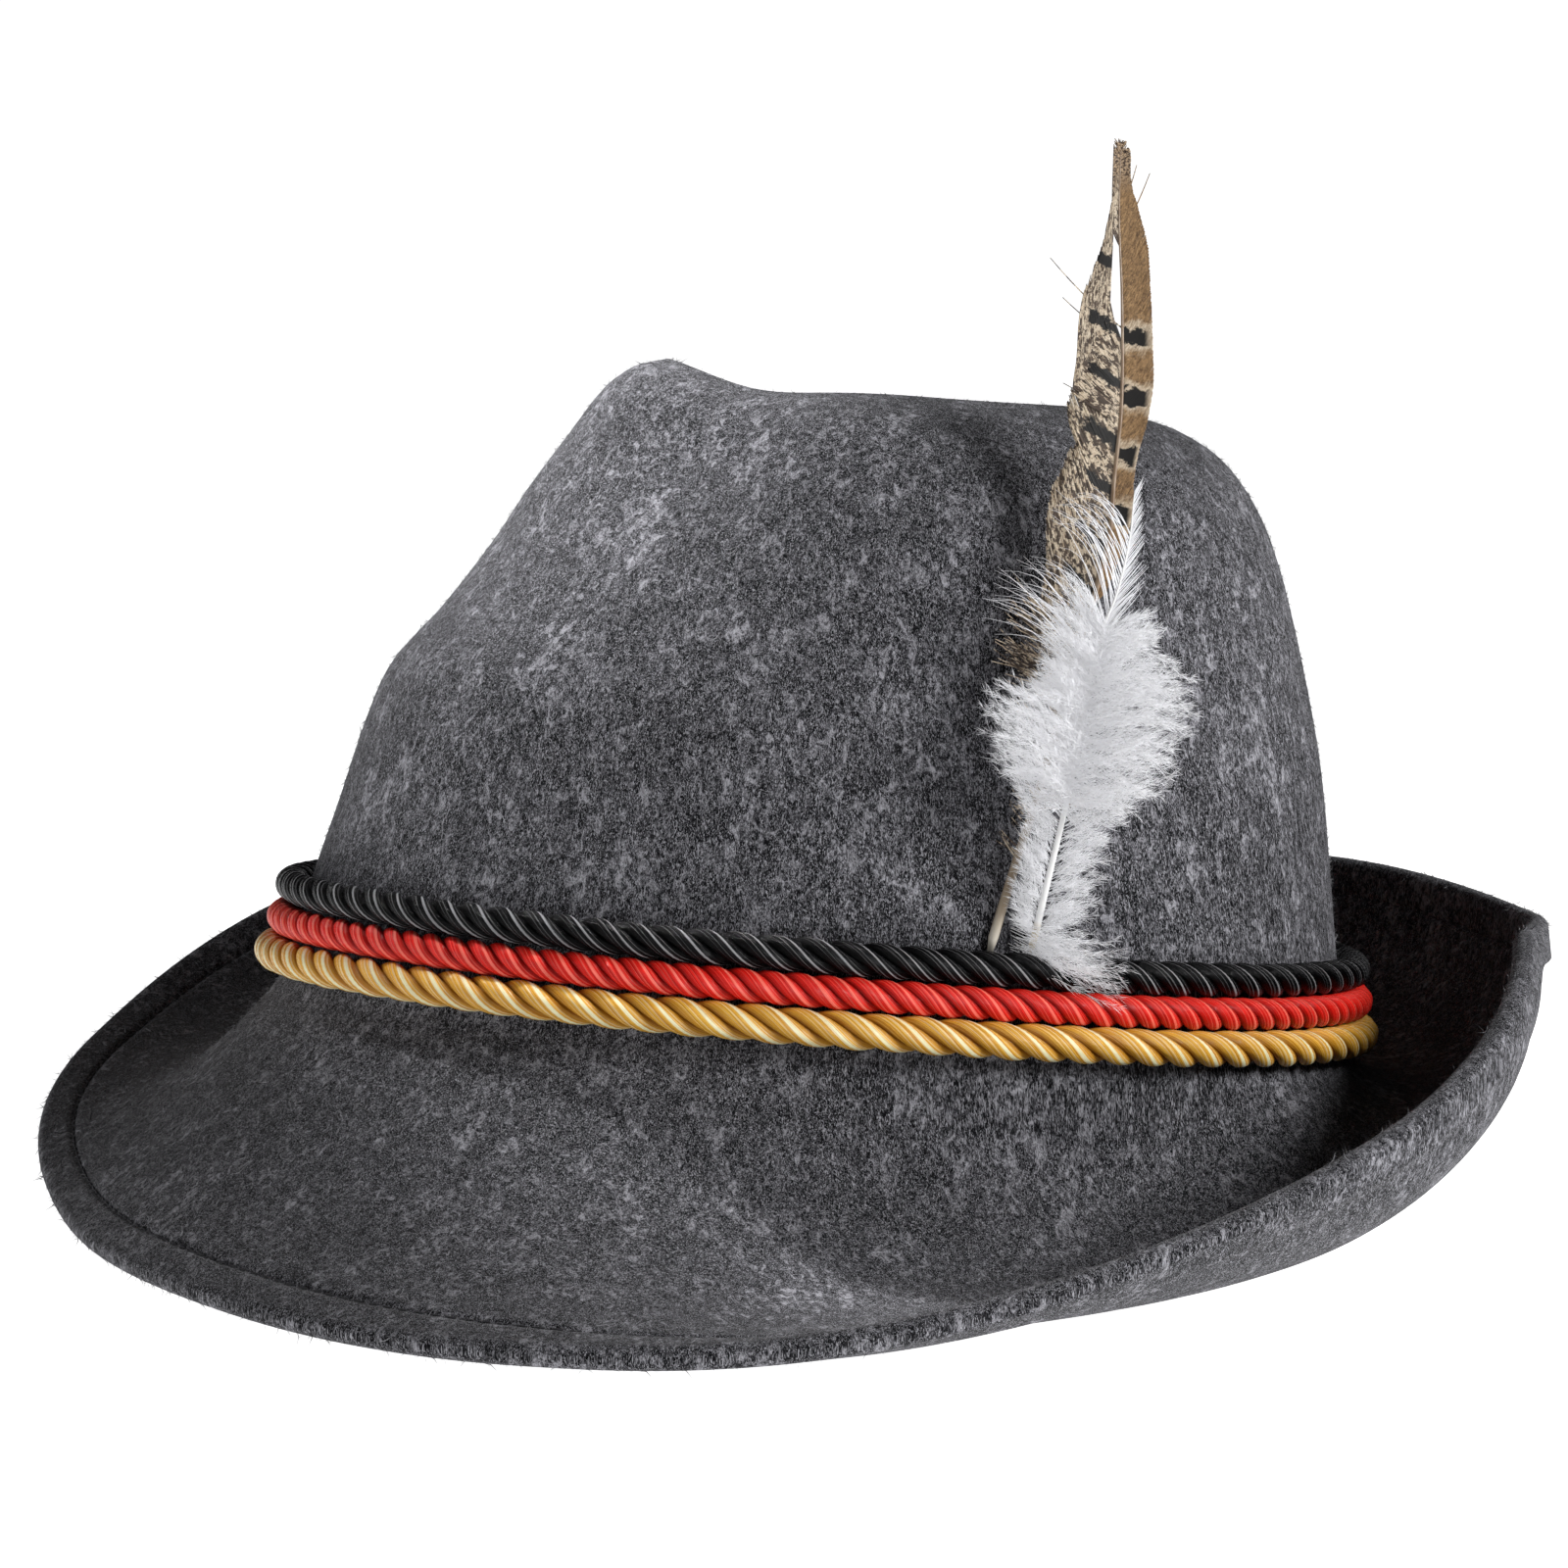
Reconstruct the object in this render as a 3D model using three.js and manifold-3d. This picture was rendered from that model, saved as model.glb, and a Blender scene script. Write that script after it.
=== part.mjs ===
// A grey felt tyrolean hat with three satin cords round the crown and two feathers.
//
// Millimetres, +Z up. The hat rests on the floor at z = 0 as it does in the photograph, front
// towards -Y and the wearer's left towards +X. Everything is first laid out in the band frame,
// whose origin is the middle of the crown's foot, where the brim begins, and whose Z stands
// square to the cords' loops.
// Angles go round the head: 0 at the front, 90 on the wearer's left, 180 at the back.
import * as THREE from "three";
import { mergeVertices } from "three/addons/utils/BufferGeometryUtils.js";
import Module from "manifold-3d";

const wasm = await Module();
wasm.setup();

// Driving sizes, in millimetres and degrees
const bandHalfLength = 104.4; // felt wall at the crown's foot, front to back
const bandHalfWidth = 87.1; // felt wall at the crown's foot, side to side
const crownHeight = 117; // highest ridge above the crown's foot
const feltWall = 2.2;
const brimWidth = 72; // mean arc from the crown's foot to the edge
const hemWidth = 8;
const hemThickness = 4.4; // two layers of felt
const stitchDepth = 0.5;
const seatGap = 0.3; // between pieces that touch on the real hat
const bandSaddle = 1.2; // how far the band's line rises and dips round the crown
const goldHeight = -0.8; // middle of the lowest cord above the crown's foot
const goldThickness = 6.6;
const redThickness = 5.9;
const blackThickness = 6.1;
const creaseDepth = 15;
const pinchDepth = 7;
const pheasantLength = 146;
const pheasantQuill = 1.9;
const whiteLength = 92;
const whiteQuill = 1.5;
const vaneThickness = 1.0;
const fluffThickness = 7;
const quillGap = 0.6; // between a quill's foot and the felt that it is glued to
const quillLift = 1.2; // between a quill's foot and the cord below it
const restRoll = 6.0; // near side up, as the hat lies on its turned-down brim
const restPitch = 8.1; // front up
const restSink = 0.8; // felt pressed flat where it rests

// Angles and shares that shape the forms
const wallSlope = 78; // below level, where the wall runs into the brim
const breakShare = 0.16; // share of the brim's arc over which the wall's slope is lost
const pinchAngle = 42; // the two soft dents beside the front of the ridge
const pinchSpread = 26;
const pinchHeight = 0.9; // share of the crown's height
const pinchRise = 0.2;
const pinchDrop = 0.35; // how far a dent pulls the felt down, as a share of its depth
const topBack = 0.05; // middle of the top behind the band's middle, share of bandHalfLength
const topLevel = 0.965; // height of the top without its crease, share of crownHeight
const pheasantAngle = 96.5; // where the quills stand, round the crown
const whiteAngle = 101.5;
const lockReach = 0.86; // reach of the shorter of two locks of a vane
const vaneRake = 0.35; // how far a vane's edge rises for its reach
const quillTaper = 0.45; // thickness of a quill's tip, as a share of its foot's

// How finely the forms are cut
const feltSteps = 60;
const brimStepCount = 24;
const cordSteps = 84;
const cordSides = 8;
const quillSides = 6;
const quillSteps = 12;
const vaneLocks = 30;

const degrees = Math.PI / 180;
const clamp01 = (x) => Math.min(1, Math.max(0, x));
const smooth = (x) => clamp01(x) ** 2 * (3 - 2 * clamp01(x));
const mix = (a, b, f) => a + (b - a) * f;

// A smooth value from rows sorted by their first column; periodic when a period is given
function fromRows(rows, column, at, period = 0) {
  const count = rows.length;
  let x = at;
  if (period) x = ((at % period) + period) % period;
  let i = 0;
  while (i < count - 1 && rows[i + 1][0] <= x) i += 1;
  const row = (k) => {
    if (!period) return [...rows[Math.min(count - 1, Math.max(0, k))]];
    const turn = Math.floor(k / count);
    const found = [...rows[k - turn * count]];
    found[0] += turn * period;
    return found;
  };
  const [r0, r1, r2, r3] = [row(i - 1), row(i), row(i + 1), row(i + 2)];
  const span = r2[0] - r1[0];
  if (span <= 0) return r1[column];
  const f = clamp01((x - r1[0]) / span);
  const slope = (a, b) => (b[0] > a[0] ? (b[column] - a[column]) / (b[0] - a[0]) : 0);
  const m1 = slope(r0, r2) * span;
  const m2 = slope(r1, r3) * span;
  const [p1, p2] = [r1[column], r2[column]];
  const [f2, f3] = [f * f, f * f * f];
  return (2 * f3 - 3 * f2 + 1) * p1 + (f3 - 2 * f2 + f) * m1 + (3 * f2 - 2 * f3) * p2 + (f3 - f2) * m2;
}

// Crown sections: height share, then front, back and side reach as shares of the band's halves
const crownRows = [
  [0.0, 1.0, 1.0, 1.0],
  [0.12, 0.972, 0.972, 0.972],
  [0.25, 0.935, 0.945, 0.94],
  [0.38, 0.9, 0.918, 0.905],
  [0.475, 0.862, 0.893, 0.875],
  [0.57, 0.78, 0.862, 0.84],
  [0.68, 0.702, 0.822, 0.795],
  [0.78, 0.645, 0.78, 0.755],
  [0.87, 0.585, 0.728, 0.695],
  [0.945, 0.53, 0.655, 0.61],
  [0.985, 0.475, 0.57, 0.52],
  [1.0, 0.42, 0.49, 0.445],
];

// Top inside the ridge: share of the ridge's reach, then share of the crease's depth
const creaseRows = [
  [0, 1],
  [0.3, 0.93],
  [0.6, 0.58],
  [0.82, 0.2],
  [1, 0],
];

// The band's line and the ridge round the crown: angle, share of the saddle, share of height
const roundRows = [
  [0, -3.0, 1],
  [40, -0.7, 0.975],
  [90, 1, 0.972],
  [140, 0.2, 0.985],
  [180, -1, 0.97],
  [230, -0.4, 0.95],
  [280, -0.4, 0.945],
  [325, -4.0, 0.975],
];

// Brim: angle, width share, slope below level at the crown and at the edge
const brimRows = [
  [0, 0.91, 56, 38],
  [30, 1.0, 53, 37],
  [60, 1.15, 58, 15],
  [90, 1.22, 99, -36],
  [120, 1.175, 101, -85],
  [150, 0.95, 48, -118],
  [165, 0.91, 38, -113],
  [180, 0.945, 33, -99],
  [210, 1.045, 30, -92],
  [240, 1.0, 36, -80],
  [270, 0.97, 44, -70],
  [300, 1.04, 50, -58],
  [330, 0.955, 58, -8],
];

// A point of the felt wall's outside in the band frame, at a share of the crown's height
function wallPoint(angle, share) {
  const turn = angle * degrees;
  const side = Math.sin(turn);
  const fore = Math.cos(turn);
  const reach = fromRows(crownRows, fore > 0 ? 1 : 2, share);
  const across = fromRows(crownRows, 3, share);
  const lift = fromRows(roundRows, 1, angle, 360) * bandSaddle;
  const ridge = mix(1, fromRows(roundRows, 2, angle, 360), share * share);
  return new THREE.Vector3(
    side * across * bandHalfWidth,
    -fore * reach * bandHalfLength,
    share * crownHeight * ridge + lift * (1 - share),
  );
}

function pinch(angle, share) {
  let depth = 0;
  for (const side of [-1, 1]) {
    const off = ((angle - side * pinchAngle + 540) % 360) - 180;
    const around = Math.exp(-((off / pinchSpread) ** 2));
    depth += around * Math.exp(-(((share - pinchHeight) / pinchRise) ** 2));
  }
  return depth * pinchDepth;
}

function crownPoint(angle, share) {
  const point = wallPoint(angle, share);
  const dent = pinch(angle, share);
  const level = Math.hypot(point.x, point.y);
  point.x -= (point.x / level) * dent;
  point.y -= (point.y / level) * dent;
  point.z -= pinchDrop * dent;
  return point;
}

// Inside the ridge: share is 1 at the ridge and 0 on the middle of the top
function topPoint(angle, share) {
  const ridge = crownPoint(angle, 1);
  const depth = fromRows(creaseRows, 1, share) * creaseDepth;
  const middle = new THREE.Vector3(0, topBack * bandHalfLength, crownHeight);
  const point = middle.clone().lerp(ridge, share);
  point.z = mix(topLevel * crownHeight, ridge.z, share) - depth;
  return point;
}

// Outside of the brim, at a share of its arc from the crown's foot
function brimCurve(angle) {
  const turn = angle * degrees;
  const width = fromRows(brimRows, 1, angle, 360) * brimWidth;
  const first = fromRows(brimRows, 2, angle, 360);
  const last = fromRows(brimRows, 3, angle, 360);
  const start = wallPoint(angle, 0);
  const out = new THREE.Vector2(Math.sin(turn) / bandHalfWidth, -Math.cos(turn) / bandHalfLength);
  out.normalize();
  const points = [start.clone()];
  let reach = 0;
  let drop = 0;
  for (let i = 0; i < brimStepCount; i += 1) {
    const share = (i + 0.5) / brimStepCount;
    const ease = 0.5 * smooth(share) + 0.5 * share;
    const turned = mix(first, last, ease);
    const slope = mix(wallSlope, turned, smooth(share / breakShare)) * degrees;
    reach += (Math.cos(slope) * width) / brimStepCount;
    drop += (Math.sin(slope) * width) / brimStepCount;
    points.push(new THREE.Vector3(start.x + out.x * reach, start.y + out.y * reach, start.z - drop));
  }
  return { points, width };
}

function brimPoint(curve, share) {
  const at = clamp01(share) * brimStepCount;
  const i = Math.min(brimStepCount - 1, Math.floor(at));
  return curve.points[i].clone().lerp(curve.points[i + 1], at - i);
}

// The felt as rings of points, from the top's middle to the brim's edge, at these shares
const topShares = [0.25, 0.5, 0.72, 0.88];
const wallShares = [1, 0.985, 0.955, 0.91, 0.85, 0.77, 0.67, 0.56, 0.46, 0.36, 0.24, 0.12, 0.04];
const brimShares = [0, 0.08, 0.16, 0.27, 0.4, 0.54, 0.68, 0.8];
const outsideOnly = [0.67, 0.46, 0.24, 0.12, 0.08, 0.27, 0.54]; // not on the plain inner side

// Hem: share of its width, share of its thickness, share of the stitch's depth
const hemRows = [
  [0.1, 0, 1],
  [0.25, 0, 0],
  [0.75, 0, 0],
  [0.96, 0.25, 0],
  [0.96, 0.75, 0],
  [0.75, 1, 0],
  [0.1, 1, 0],
];

function feltRings() {
  const rings = [];
  for (const share of topShares) rings.push({ share, from: "top" });
  for (const share of wallShares) rings.push({ share, from: "wall" });
  for (const share of brimShares) rings.push({ share, from: "brim" });
  return rings;
}

function outsidePoint(ring, angle, curve) {
  if (ring.from === "top") return topPoint(angle, ring.share);
  if (ring.from === "wall") return crownPoint(angle, ring.share);
  return brimPoint(curve, ring.share * (1 - hemWidth / curve.width));
}

// Closed surface from rings of equal length, with a single point at each end
function closedFromRings(first, rings, last) {
  const count = rings[0].length;
  const positions = [first, ...rings.flat(), last].flatMap((p) => [p.x, p.y, p.z]);
  const index = [];
  const at = (r, i) => 1 + r * count + (i % count);
  for (let i = 0; i < count; i += 1) index.push(0, at(0, i), at(0, i + 1));
  for (let r = 0; r < rings.length - 1; r += 1) {
    for (let i = 0; i < count; i += 1) {
      index.push(at(r, i), at(r + 1, i), at(r + 1, i + 1));
      index.push(at(r, i), at(r + 1, i + 1), at(r, i + 1));
    }
  }
  const end = 1 + rings.length * count;
  const tail = rings.length - 1;
  for (let i = 0; i < count; i += 1) index.push(end, at(tail, i + 1), at(tail, i));
  const geometry = new THREE.BufferGeometry();
  geometry.setAttribute("position", new THREE.Float32BufferAttribute(positions, 3));
  geometry.setIndex(index);
  return geometry;
}

// Felt body: crown and brim in one piece, with a doubled hem
function feltGeometry() {
  const angles = Array.from({ length: feltSteps }, (_, i) => (i * 360) / feltSteps);
  const curves = angles.map(brimCurve);
  const layout = feltRings();
  const outer = layout.map((ring) => angles.map((angle, i) => outsidePoint(ring, angle, curves[i])));
  const top = topPoint(0, 0);
  const normals = outer.map((ring, r) =>
    ring.map((point, i) => {
      const above = r > 0 ? outer[r - 1][i] : top;
      const below = r < outer.length - 1 ? outer[r + 1][i] : brimPoint(curves[i], 1);
      const next = ring[(i + 1) % feltSteps];
      const previous = ring[(i + feltSteps - 1) % feltSteps];
      const down = below.clone().sub(above);
      return down.cross(next.clone().sub(previous)).normalize();
    }),
  );
  const lined = outer.map((ring, r) =>
    ring.map((point, i) => point.clone().addScaledVector(normals[r][i], -feltWall)),
  );
  const inner = lined.filter((_, r) => !outsideOnly.includes(layout[r].share));
  const tail = outer.length - 1;
  const hem = (share, depth) =>
    angles.map((_, i) => {
      const from = 1 - hemWidth / curves[i].width;
      return brimPoint(curves[i], mix(from, 1, share)).addScaledVector(normals[tail][i], -depth);
    });
  const edge = hemRows.map(([share, thick, groove]) =>
    hem(share, thick * hemThickness + groove * stitchDepth),
  );
  edge.push(hem(0, feltWall + stitchDepth));
  const rings = [...outer, ...edge, ...inner.reverse().slice(1)];
  const under = top.clone();
  under.z -= feltWall;
  return closedFromRings(top, rings, under);
}

// Cords: closed loops that follow the crown, one on top of another
function loopGeometry(centreAt, thickness) {
  const rings = [];
  for (let i = 0; i < cordSteps; i += 1) {
    const angle = (i * 360) / cordSteps;
    const step = 180 / cordSteps;
    const centre = centreAt(angle);
    const along = centreAt(angle + step).sub(centreAt(angle - step)).normalize();
    const out = new THREE.Vector3().crossVectors(along, new THREE.Vector3(0, 0, 1)).normalize();
    const up = new THREE.Vector3().crossVectors(out, along).normalize();
    const ring = [];
    for (let k = 0; k < cordSides; k += 1) {
      const turn = (k * 2 * Math.PI) / cordSides;
      const point = centre.clone().addScaledVector(out, (Math.cos(turn) * thickness) / 2);
      ring.push(point.addScaledVector(up, (Math.sin(turn) * thickness) / 2));
    }
    rings.push(ring);
  }
  const positions = rings.flat().flatMap((p) => [p.x, p.y, p.z]);
  const index = [];
  const at = (r, k) => (r % cordSteps) * cordSides + (k % cordSides);
  for (let r = 0; r < cordSteps; r += 1) {
    for (let k = 0; k < cordSides; k += 1) {
      index.push(at(r, k), at(r + 1, k), at(r + 1, k + 1));
      index.push(at(r, k), at(r + 1, k + 1), at(r, k + 1));
    }
  }
  const geometry = new THREE.BufferGeometry();
  geometry.setAttribute("position", new THREE.Float32BufferAttribute(positions, 3));
  geometry.setIndex(index);
  return geometry;
}

// How much the wall leans inwards for each millimetre of height, just above the crown's foot
const wallLean = ((1 - crownRows[1][1]) / crownRows[1][0]) * (bandHalfLength / crownHeight);

function cordCentre(angle, height, thickness) {
  const turn = angle * degrees;
  const rise = height / crownHeight;
  const wall = wallPoint(angle, rise);
  const out = new THREE.Vector3(Math.sin(turn) / bandHalfWidth, -Math.cos(turn) / bandHalfLength, 0);
  out.normalize();
  out.z = wallLean;
  return wall.addScaledVector(out.normalize(), thickness / 2 + seatGap);
}

const redHeight = goldHeight + (goldThickness + redThickness + seatGap) / 2;
const blackHeight = redHeight + (redThickness + blackThickness + seatGap) / 2;

// Name, height of the middle, thickness, colour
const cordRows = [
  ["gold_cord", goldHeight, goldThickness, 0xc9962f],
  ["red_cord", redHeight, redThickness, 0xc01512],
  ["black_cord", blackHeight, blackThickness, 0x0d0d0f],
];

// Boolean helpers
function toSolid(geometry) {
  const bare = geometry.clone();
  bare.deleteAttribute("normal");
  bare.deleteAttribute("uv");
  const merged = mergeVertices(bare, 1e-4);
  const vertProperties = Float32Array.from(merged.attributes.position.array);
  const triVerts = Uint32Array.from(merged.index.array);
  return new wasm.Manifold(new wasm.Mesh({ numProp: 3, vertProperties, triVerts }));
}

function fromSolid(solid) {
  const mesh = solid.getMesh();
  const geometry = new THREE.BufferGeometry();
  geometry.setAttribute("position", new THREE.BufferAttribute(mesh.vertProperties, 3));
  geometry.setIndex(new THREE.BufferAttribute(mesh.triVerts, 1));
  return geometry;
}

// Feathers: a quill with a thin vane fused on, in a plane that stands on the crown's side
const featherSide = new THREE.Vector3(0.17, 0.985, 0).normalize();

// Section of a vane: reach as a share, then thickness as a share
const vaneSection = [
  [1, 0],
  [0.5, 0.8],
  [0, 1],
  [-0.5, 0.8],
  [-1, 0],
  [-0.5, -0.8],
  [0, -1],
  [0.5, -0.8],
];

// Directions at a share of a feather's line: along it, across the vane and square to its face
function featherAxes(lineAt, share) {
  const step = 0.01;
  const along = lineAt(share + step).sub(lineAt(share - step)).normalize();
  const side = new THREE.Vector3().crossVectors(along, featherSide).cross(along).normalize();
  const face = new THREE.Vector3().crossVectors(side, along).normalize();
  return { along, side, face };
}

function vaneGeometry(lineAt, length, rows, halfThickness, locks) {
  const rings = [];
  for (let i = 0; i <= locks; i += 1) {
    const share = mix(rows[0][0], rows.at(-1)[0], i / locks);
    const middle = lineAt(share);
    const { along, side, face } = featherAxes(lineAt, share);
    const lock = i % 2 ? 1 : lockReach;
    const before = fromRows(rows, 1, share) * lock * length;
    const after = fromRows(rows, 2, share) * lock * length;
    const thick = halfThickness(share);
    const ring = vaneSection.map(([x, y]) => {
      const reach = x > 0 ? after * x : before * x;
      const point = middle.clone().addScaledVector(side, reach).addScaledVector(face, thick * y);
      return point.addScaledVector(along, Math.abs(reach) * vaneRake);
    });
    rings.push(ring);
  }
  const centre = (ring) => ring[2].clone().add(ring[6]).multiplyScalar(0.5);
  return closedFromRings(centre(rings[0]), rings, centre(rings.at(-1)));
}

function quillGeometry(lineAt, thickness, from, to) {
  const rings = [];
  for (let i = 0; i <= quillSteps; i += 1) {
    const share = mix(from, to, i / quillSteps);
    const radius = (thickness / 2) * mix(1, quillTaper, i / quillSteps);
    const middle = lineAt(share);
    const { side, face } = featherAxes(lineAt, share);
    const ring = [];
    for (let k = 0; k < quillSides; k += 1) {
      const turn = (-k * 2 * Math.PI) / quillSides;
      const point = middle.clone().addScaledVector(side, Math.cos(turn) * radius);
      ring.push(point.addScaledVector(face, -Math.sin(turn) * radius));
    }
    rings.push(ring);
  }
  return closedFromRings(lineAt(from), rings, lineAt(to));
}

// Line of a feather: share of length, then place towards the back and out from the wall
const pheasantLine = [
  [0, 0, 0],
  [0.2, 0.044, -0.03],
  [0.5, 0.108, -0.085],
  [0.67, 0.112, -0.117],
  [0.87, 0.095, -0.148],
  [1, 0.088, -0.163],
];
const whiteLine = [
  [0, 0, 0],
  [0.14, 0.01, 0.045],
  [0.3, 0.034, 0.042],
  [0.54, 0.055, 0.004],
  [0.7, 0.088, -0.028],
  [0.9, 0.104, -0.078],
  [1, 0.114, -0.1],
];

function featherLine(foot, line, length) {
  return (share) =>
    foot.clone()
      .addScaledVector(featherSide, fromRows(line, 1, share) * length)
      .add(new THREE.Vector3(fromRows(line, 2, share) * length, 0, share * length));
}

function featherFoot(angle, height, thickness) {
  const out = new THREE.Vector3(Math.sin(angle * degrees), -Math.cos(angle * degrees), 0);
  return wallPoint(angle, height / crownHeight).addScaledVector(out, thickness / 2 + quillGap);
}

const footHeight = blackHeight + blackThickness / 2 + quillLift;

// Vanes: share of length, then reach before and after the quill in shares of the length
const pheasantVane = [
  [0.36, 0.02, 0.004],
  [0.41, 0.062, 0.008],
  [0.45, 0.083, 0.014],
  [0.49, 0.09, 0.02],
  [0.53, 0.081, 0.024],
  [0.57, 0.064, 0.03],
  [0.67, 0.06, 0.037],
  [0.74, 0.052, 0.036],
  [0.79, 0.044, 0.034],
  [0.85, 0.022, 0.031],
  [0.91, 0.009, 0.02],
  [0.994, 0.006, 0.008],
];
const whiteVane = [
  [0, 0.02, 0.12],
  [0.06, 0.04, 0.1],
  [0.14, 0.07, 0.1],
  [0.21, 0.1, 0.09],
  [0.27, 0.15, 0.16],
  [0.36, 0.19, 0.2],
  [0.46, 0.215, 0.2],
  [0.56, 0.215, 0.13],
  [0.68, 0.15, 0.05],
  [0.8, 0.07, 0.02],
  [0.9, 0.02, 0.01],
];

function featherGeometry(line, length, rows, thickness, halfThickness) {
  const quill = toSolid(quillGeometry(line, thickness, 0, rows.at(-1)[0]));
  const vane = toSolid(vaneGeometry(line, length, rows, halfThickness, vaneLocks));
  return fromSolid(quill.add(vane));
}

function pheasantGeometry() {
  const foot = featherFoot(pheasantAngle, footHeight, pheasantQuill);
  const line = featherLine(foot, pheasantLine, pheasantLength);
  const thick = () => vaneThickness / 2;
  return featherGeometry(line, pheasantLength, pheasantVane, pheasantQuill, thick);
}

// Half thickness of the down along the white feather, as shares of fluffThickness
const fluffRows = [
  [0, 0.109],
  [0.1, 0.26],
  [0.25, 0.408],
  [0.45, 0.5],
  [0.65, 0.44],
  [0.8, 0.32],
  [0.9, 0.22],
];

function whiteGeometry() {
  const foot = featherFoot(whiteAngle, footHeight, whiteQuill + fluffThickness / 10);
  const line = featherLine(foot, whiteLine, whiteLength);
  const thick = (share) => fluffThickness * fromRows(fluffRows, 1, share);
  return featherGeometry(line, whiteLength, whiteVane, whiteQuill, thick);
}

// Materials
const material = (color, roughness) => new THREE.MeshStandardMaterial({ color, roughness, metalness: 0 });
const greyFelt = material(0x55565a, 0.95);

// Resting place: the whole hat is turned, and the felt is flat where it lies on the floor
const rest = new THREE.Matrix4()
  .makeRotationX(-restPitch * degrees)
  .multiply(new THREE.Matrix4().makeRotationY(-restRoll * degrees));

const pieces = [["felt_body", feltGeometry(), greyFelt]];
for (const [name, height, thickness, color] of cordRows) {
  const path = (angle) => cordCentre(angle, height, thickness);
  pieces.push([name, loopGeometry(path, thickness), material(color, 0.35)]);
}
pieces.push(["pheasant_feather", pheasantGeometry(), material(0x8a6a45, 0.7)]);
pieces.push(["white_feather", whiteGeometry(), material(0xe9e9ec, 0.8)]);

const bounds = new THREE.Box3();
for (const [, geometry] of pieces) {
  geometry.applyMatrix4(rest);
  geometry.computeBoundingBox();
  bounds.union(geometry.boundingBox);
}
const middle = bounds.getCenter(new THREE.Vector3());
const group = new THREE.Group();
for (const [name, geometry, look] of pieces) {
  geometry.translate(-middle.x, -middle.y, -bounds.min.z - restSink);
  const position = geometry.attributes.position;
  for (let i = 0; i < position.count; i += 1) position.setZ(i, Math.max(0, position.getZ(i)));
  geometry.computeVertexNormals();
  const mesh = new THREE.Mesh(geometry, look);
  mesh.name = name;
  group.add(mesh);
}

export default group;
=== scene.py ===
# A grey felt tyrolean hat with a stitched brim, three satin cords and two feathers.
# Lengths are in metres and angles in degrees. Angles go round the head: 0 at the front,
# 90 on the wearer's left, 180 at the back.
import math
import random

import bmesh
import bpy
import numpy as np
from mathutils import Matrix, Vector


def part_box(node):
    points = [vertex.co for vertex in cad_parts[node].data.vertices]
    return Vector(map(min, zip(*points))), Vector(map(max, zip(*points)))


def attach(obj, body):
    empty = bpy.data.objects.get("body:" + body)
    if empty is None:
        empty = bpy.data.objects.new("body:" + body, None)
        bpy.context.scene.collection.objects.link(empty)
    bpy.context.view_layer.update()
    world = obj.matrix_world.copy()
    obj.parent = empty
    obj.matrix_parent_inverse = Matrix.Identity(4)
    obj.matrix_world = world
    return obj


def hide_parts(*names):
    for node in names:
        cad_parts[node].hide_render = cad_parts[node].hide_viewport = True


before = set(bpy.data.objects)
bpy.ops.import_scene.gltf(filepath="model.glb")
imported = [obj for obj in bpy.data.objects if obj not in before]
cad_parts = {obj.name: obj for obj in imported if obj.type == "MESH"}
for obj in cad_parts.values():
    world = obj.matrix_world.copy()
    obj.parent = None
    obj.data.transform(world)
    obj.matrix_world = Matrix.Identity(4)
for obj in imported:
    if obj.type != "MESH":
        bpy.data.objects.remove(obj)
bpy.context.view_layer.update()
print("frame loaded")


# Plain helpers

def mix(a, b, f):
    return a + (b - a) * f


def smoothStep(x):
    x = np.clip(x, 0, 1)
    return x * x * (3 - 2 * x)


def unit(v):
    return v / np.maximum(np.linalg.norm(v, axis=-1, keepdims=True), 1e-12)


def fromRows(rows, column, at, period=0):
    xs = np.array([row[0] for row in rows], float)
    ys = np.array([row[column] for row in rows], float)
    at = np.asarray(at, float)
    if period:
        xs = np.concatenate([xs - period, xs, xs + period])
        ys = np.tile(ys, 3)
        at = np.mod(at, period)
    slopes = np.gradient(ys, xs)
    slopes[1:-1] = (ys[2:] - ys[:-2]) / (xs[2:] - xs[:-2])
    i = np.clip(np.searchsorted(xs, at, side="right") - 1, 0, len(xs) - 2)
    span = xs[i + 1] - xs[i]
    f = np.clip((at - xs[i]) / span, 0, 1)
    rise = (2 * f**3 - 3 * f**2 + 1) * ys[i] + (3 * f**2 - 2 * f**3) * ys[i + 1]
    return rise + (f**3 - 2 * f**2 + f) * slopes[i] * span + (f**3 - f**2) * slopes[i + 1] * span


def addObject(name, data):
    piece = bpy.data.objects.new(name, data)
    bpy.context.scene.collection.objects.link(piece)
    return piece


def makeObject(name, points, faces, material, uvs=None, attributes=None):
    mesh = bpy.data.meshes.new(name)
    mesh.from_pydata([tuple(p) for p in points], [], [tuple(f) for f in faces])
    mesh.polygons.foreach_set("use_smooth", [True] * len(mesh.polygons))
    if uvs is not None:
        layer = mesh.uv_layers.new(name="UVMap")
        corners = np.empty(len(mesh.loops), dtype=np.int32)
        mesh.loops.foreach_get("vertex_index", corners)
        layer.data.foreach_set("uv", np.asarray(uvs, float)[corners].ravel())
    for key, values in (attributes or {}).items():
        attribute = mesh.attributes.new(key, "FLOAT", "POINT")
        attribute.data.foreach_set("value", np.asarray(values, float).ravel())
    mesh.materials.append(material)
    mesh.update()
    return addObject(name, mesh)


# Sizes of the hat, as they are in its solids

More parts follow.
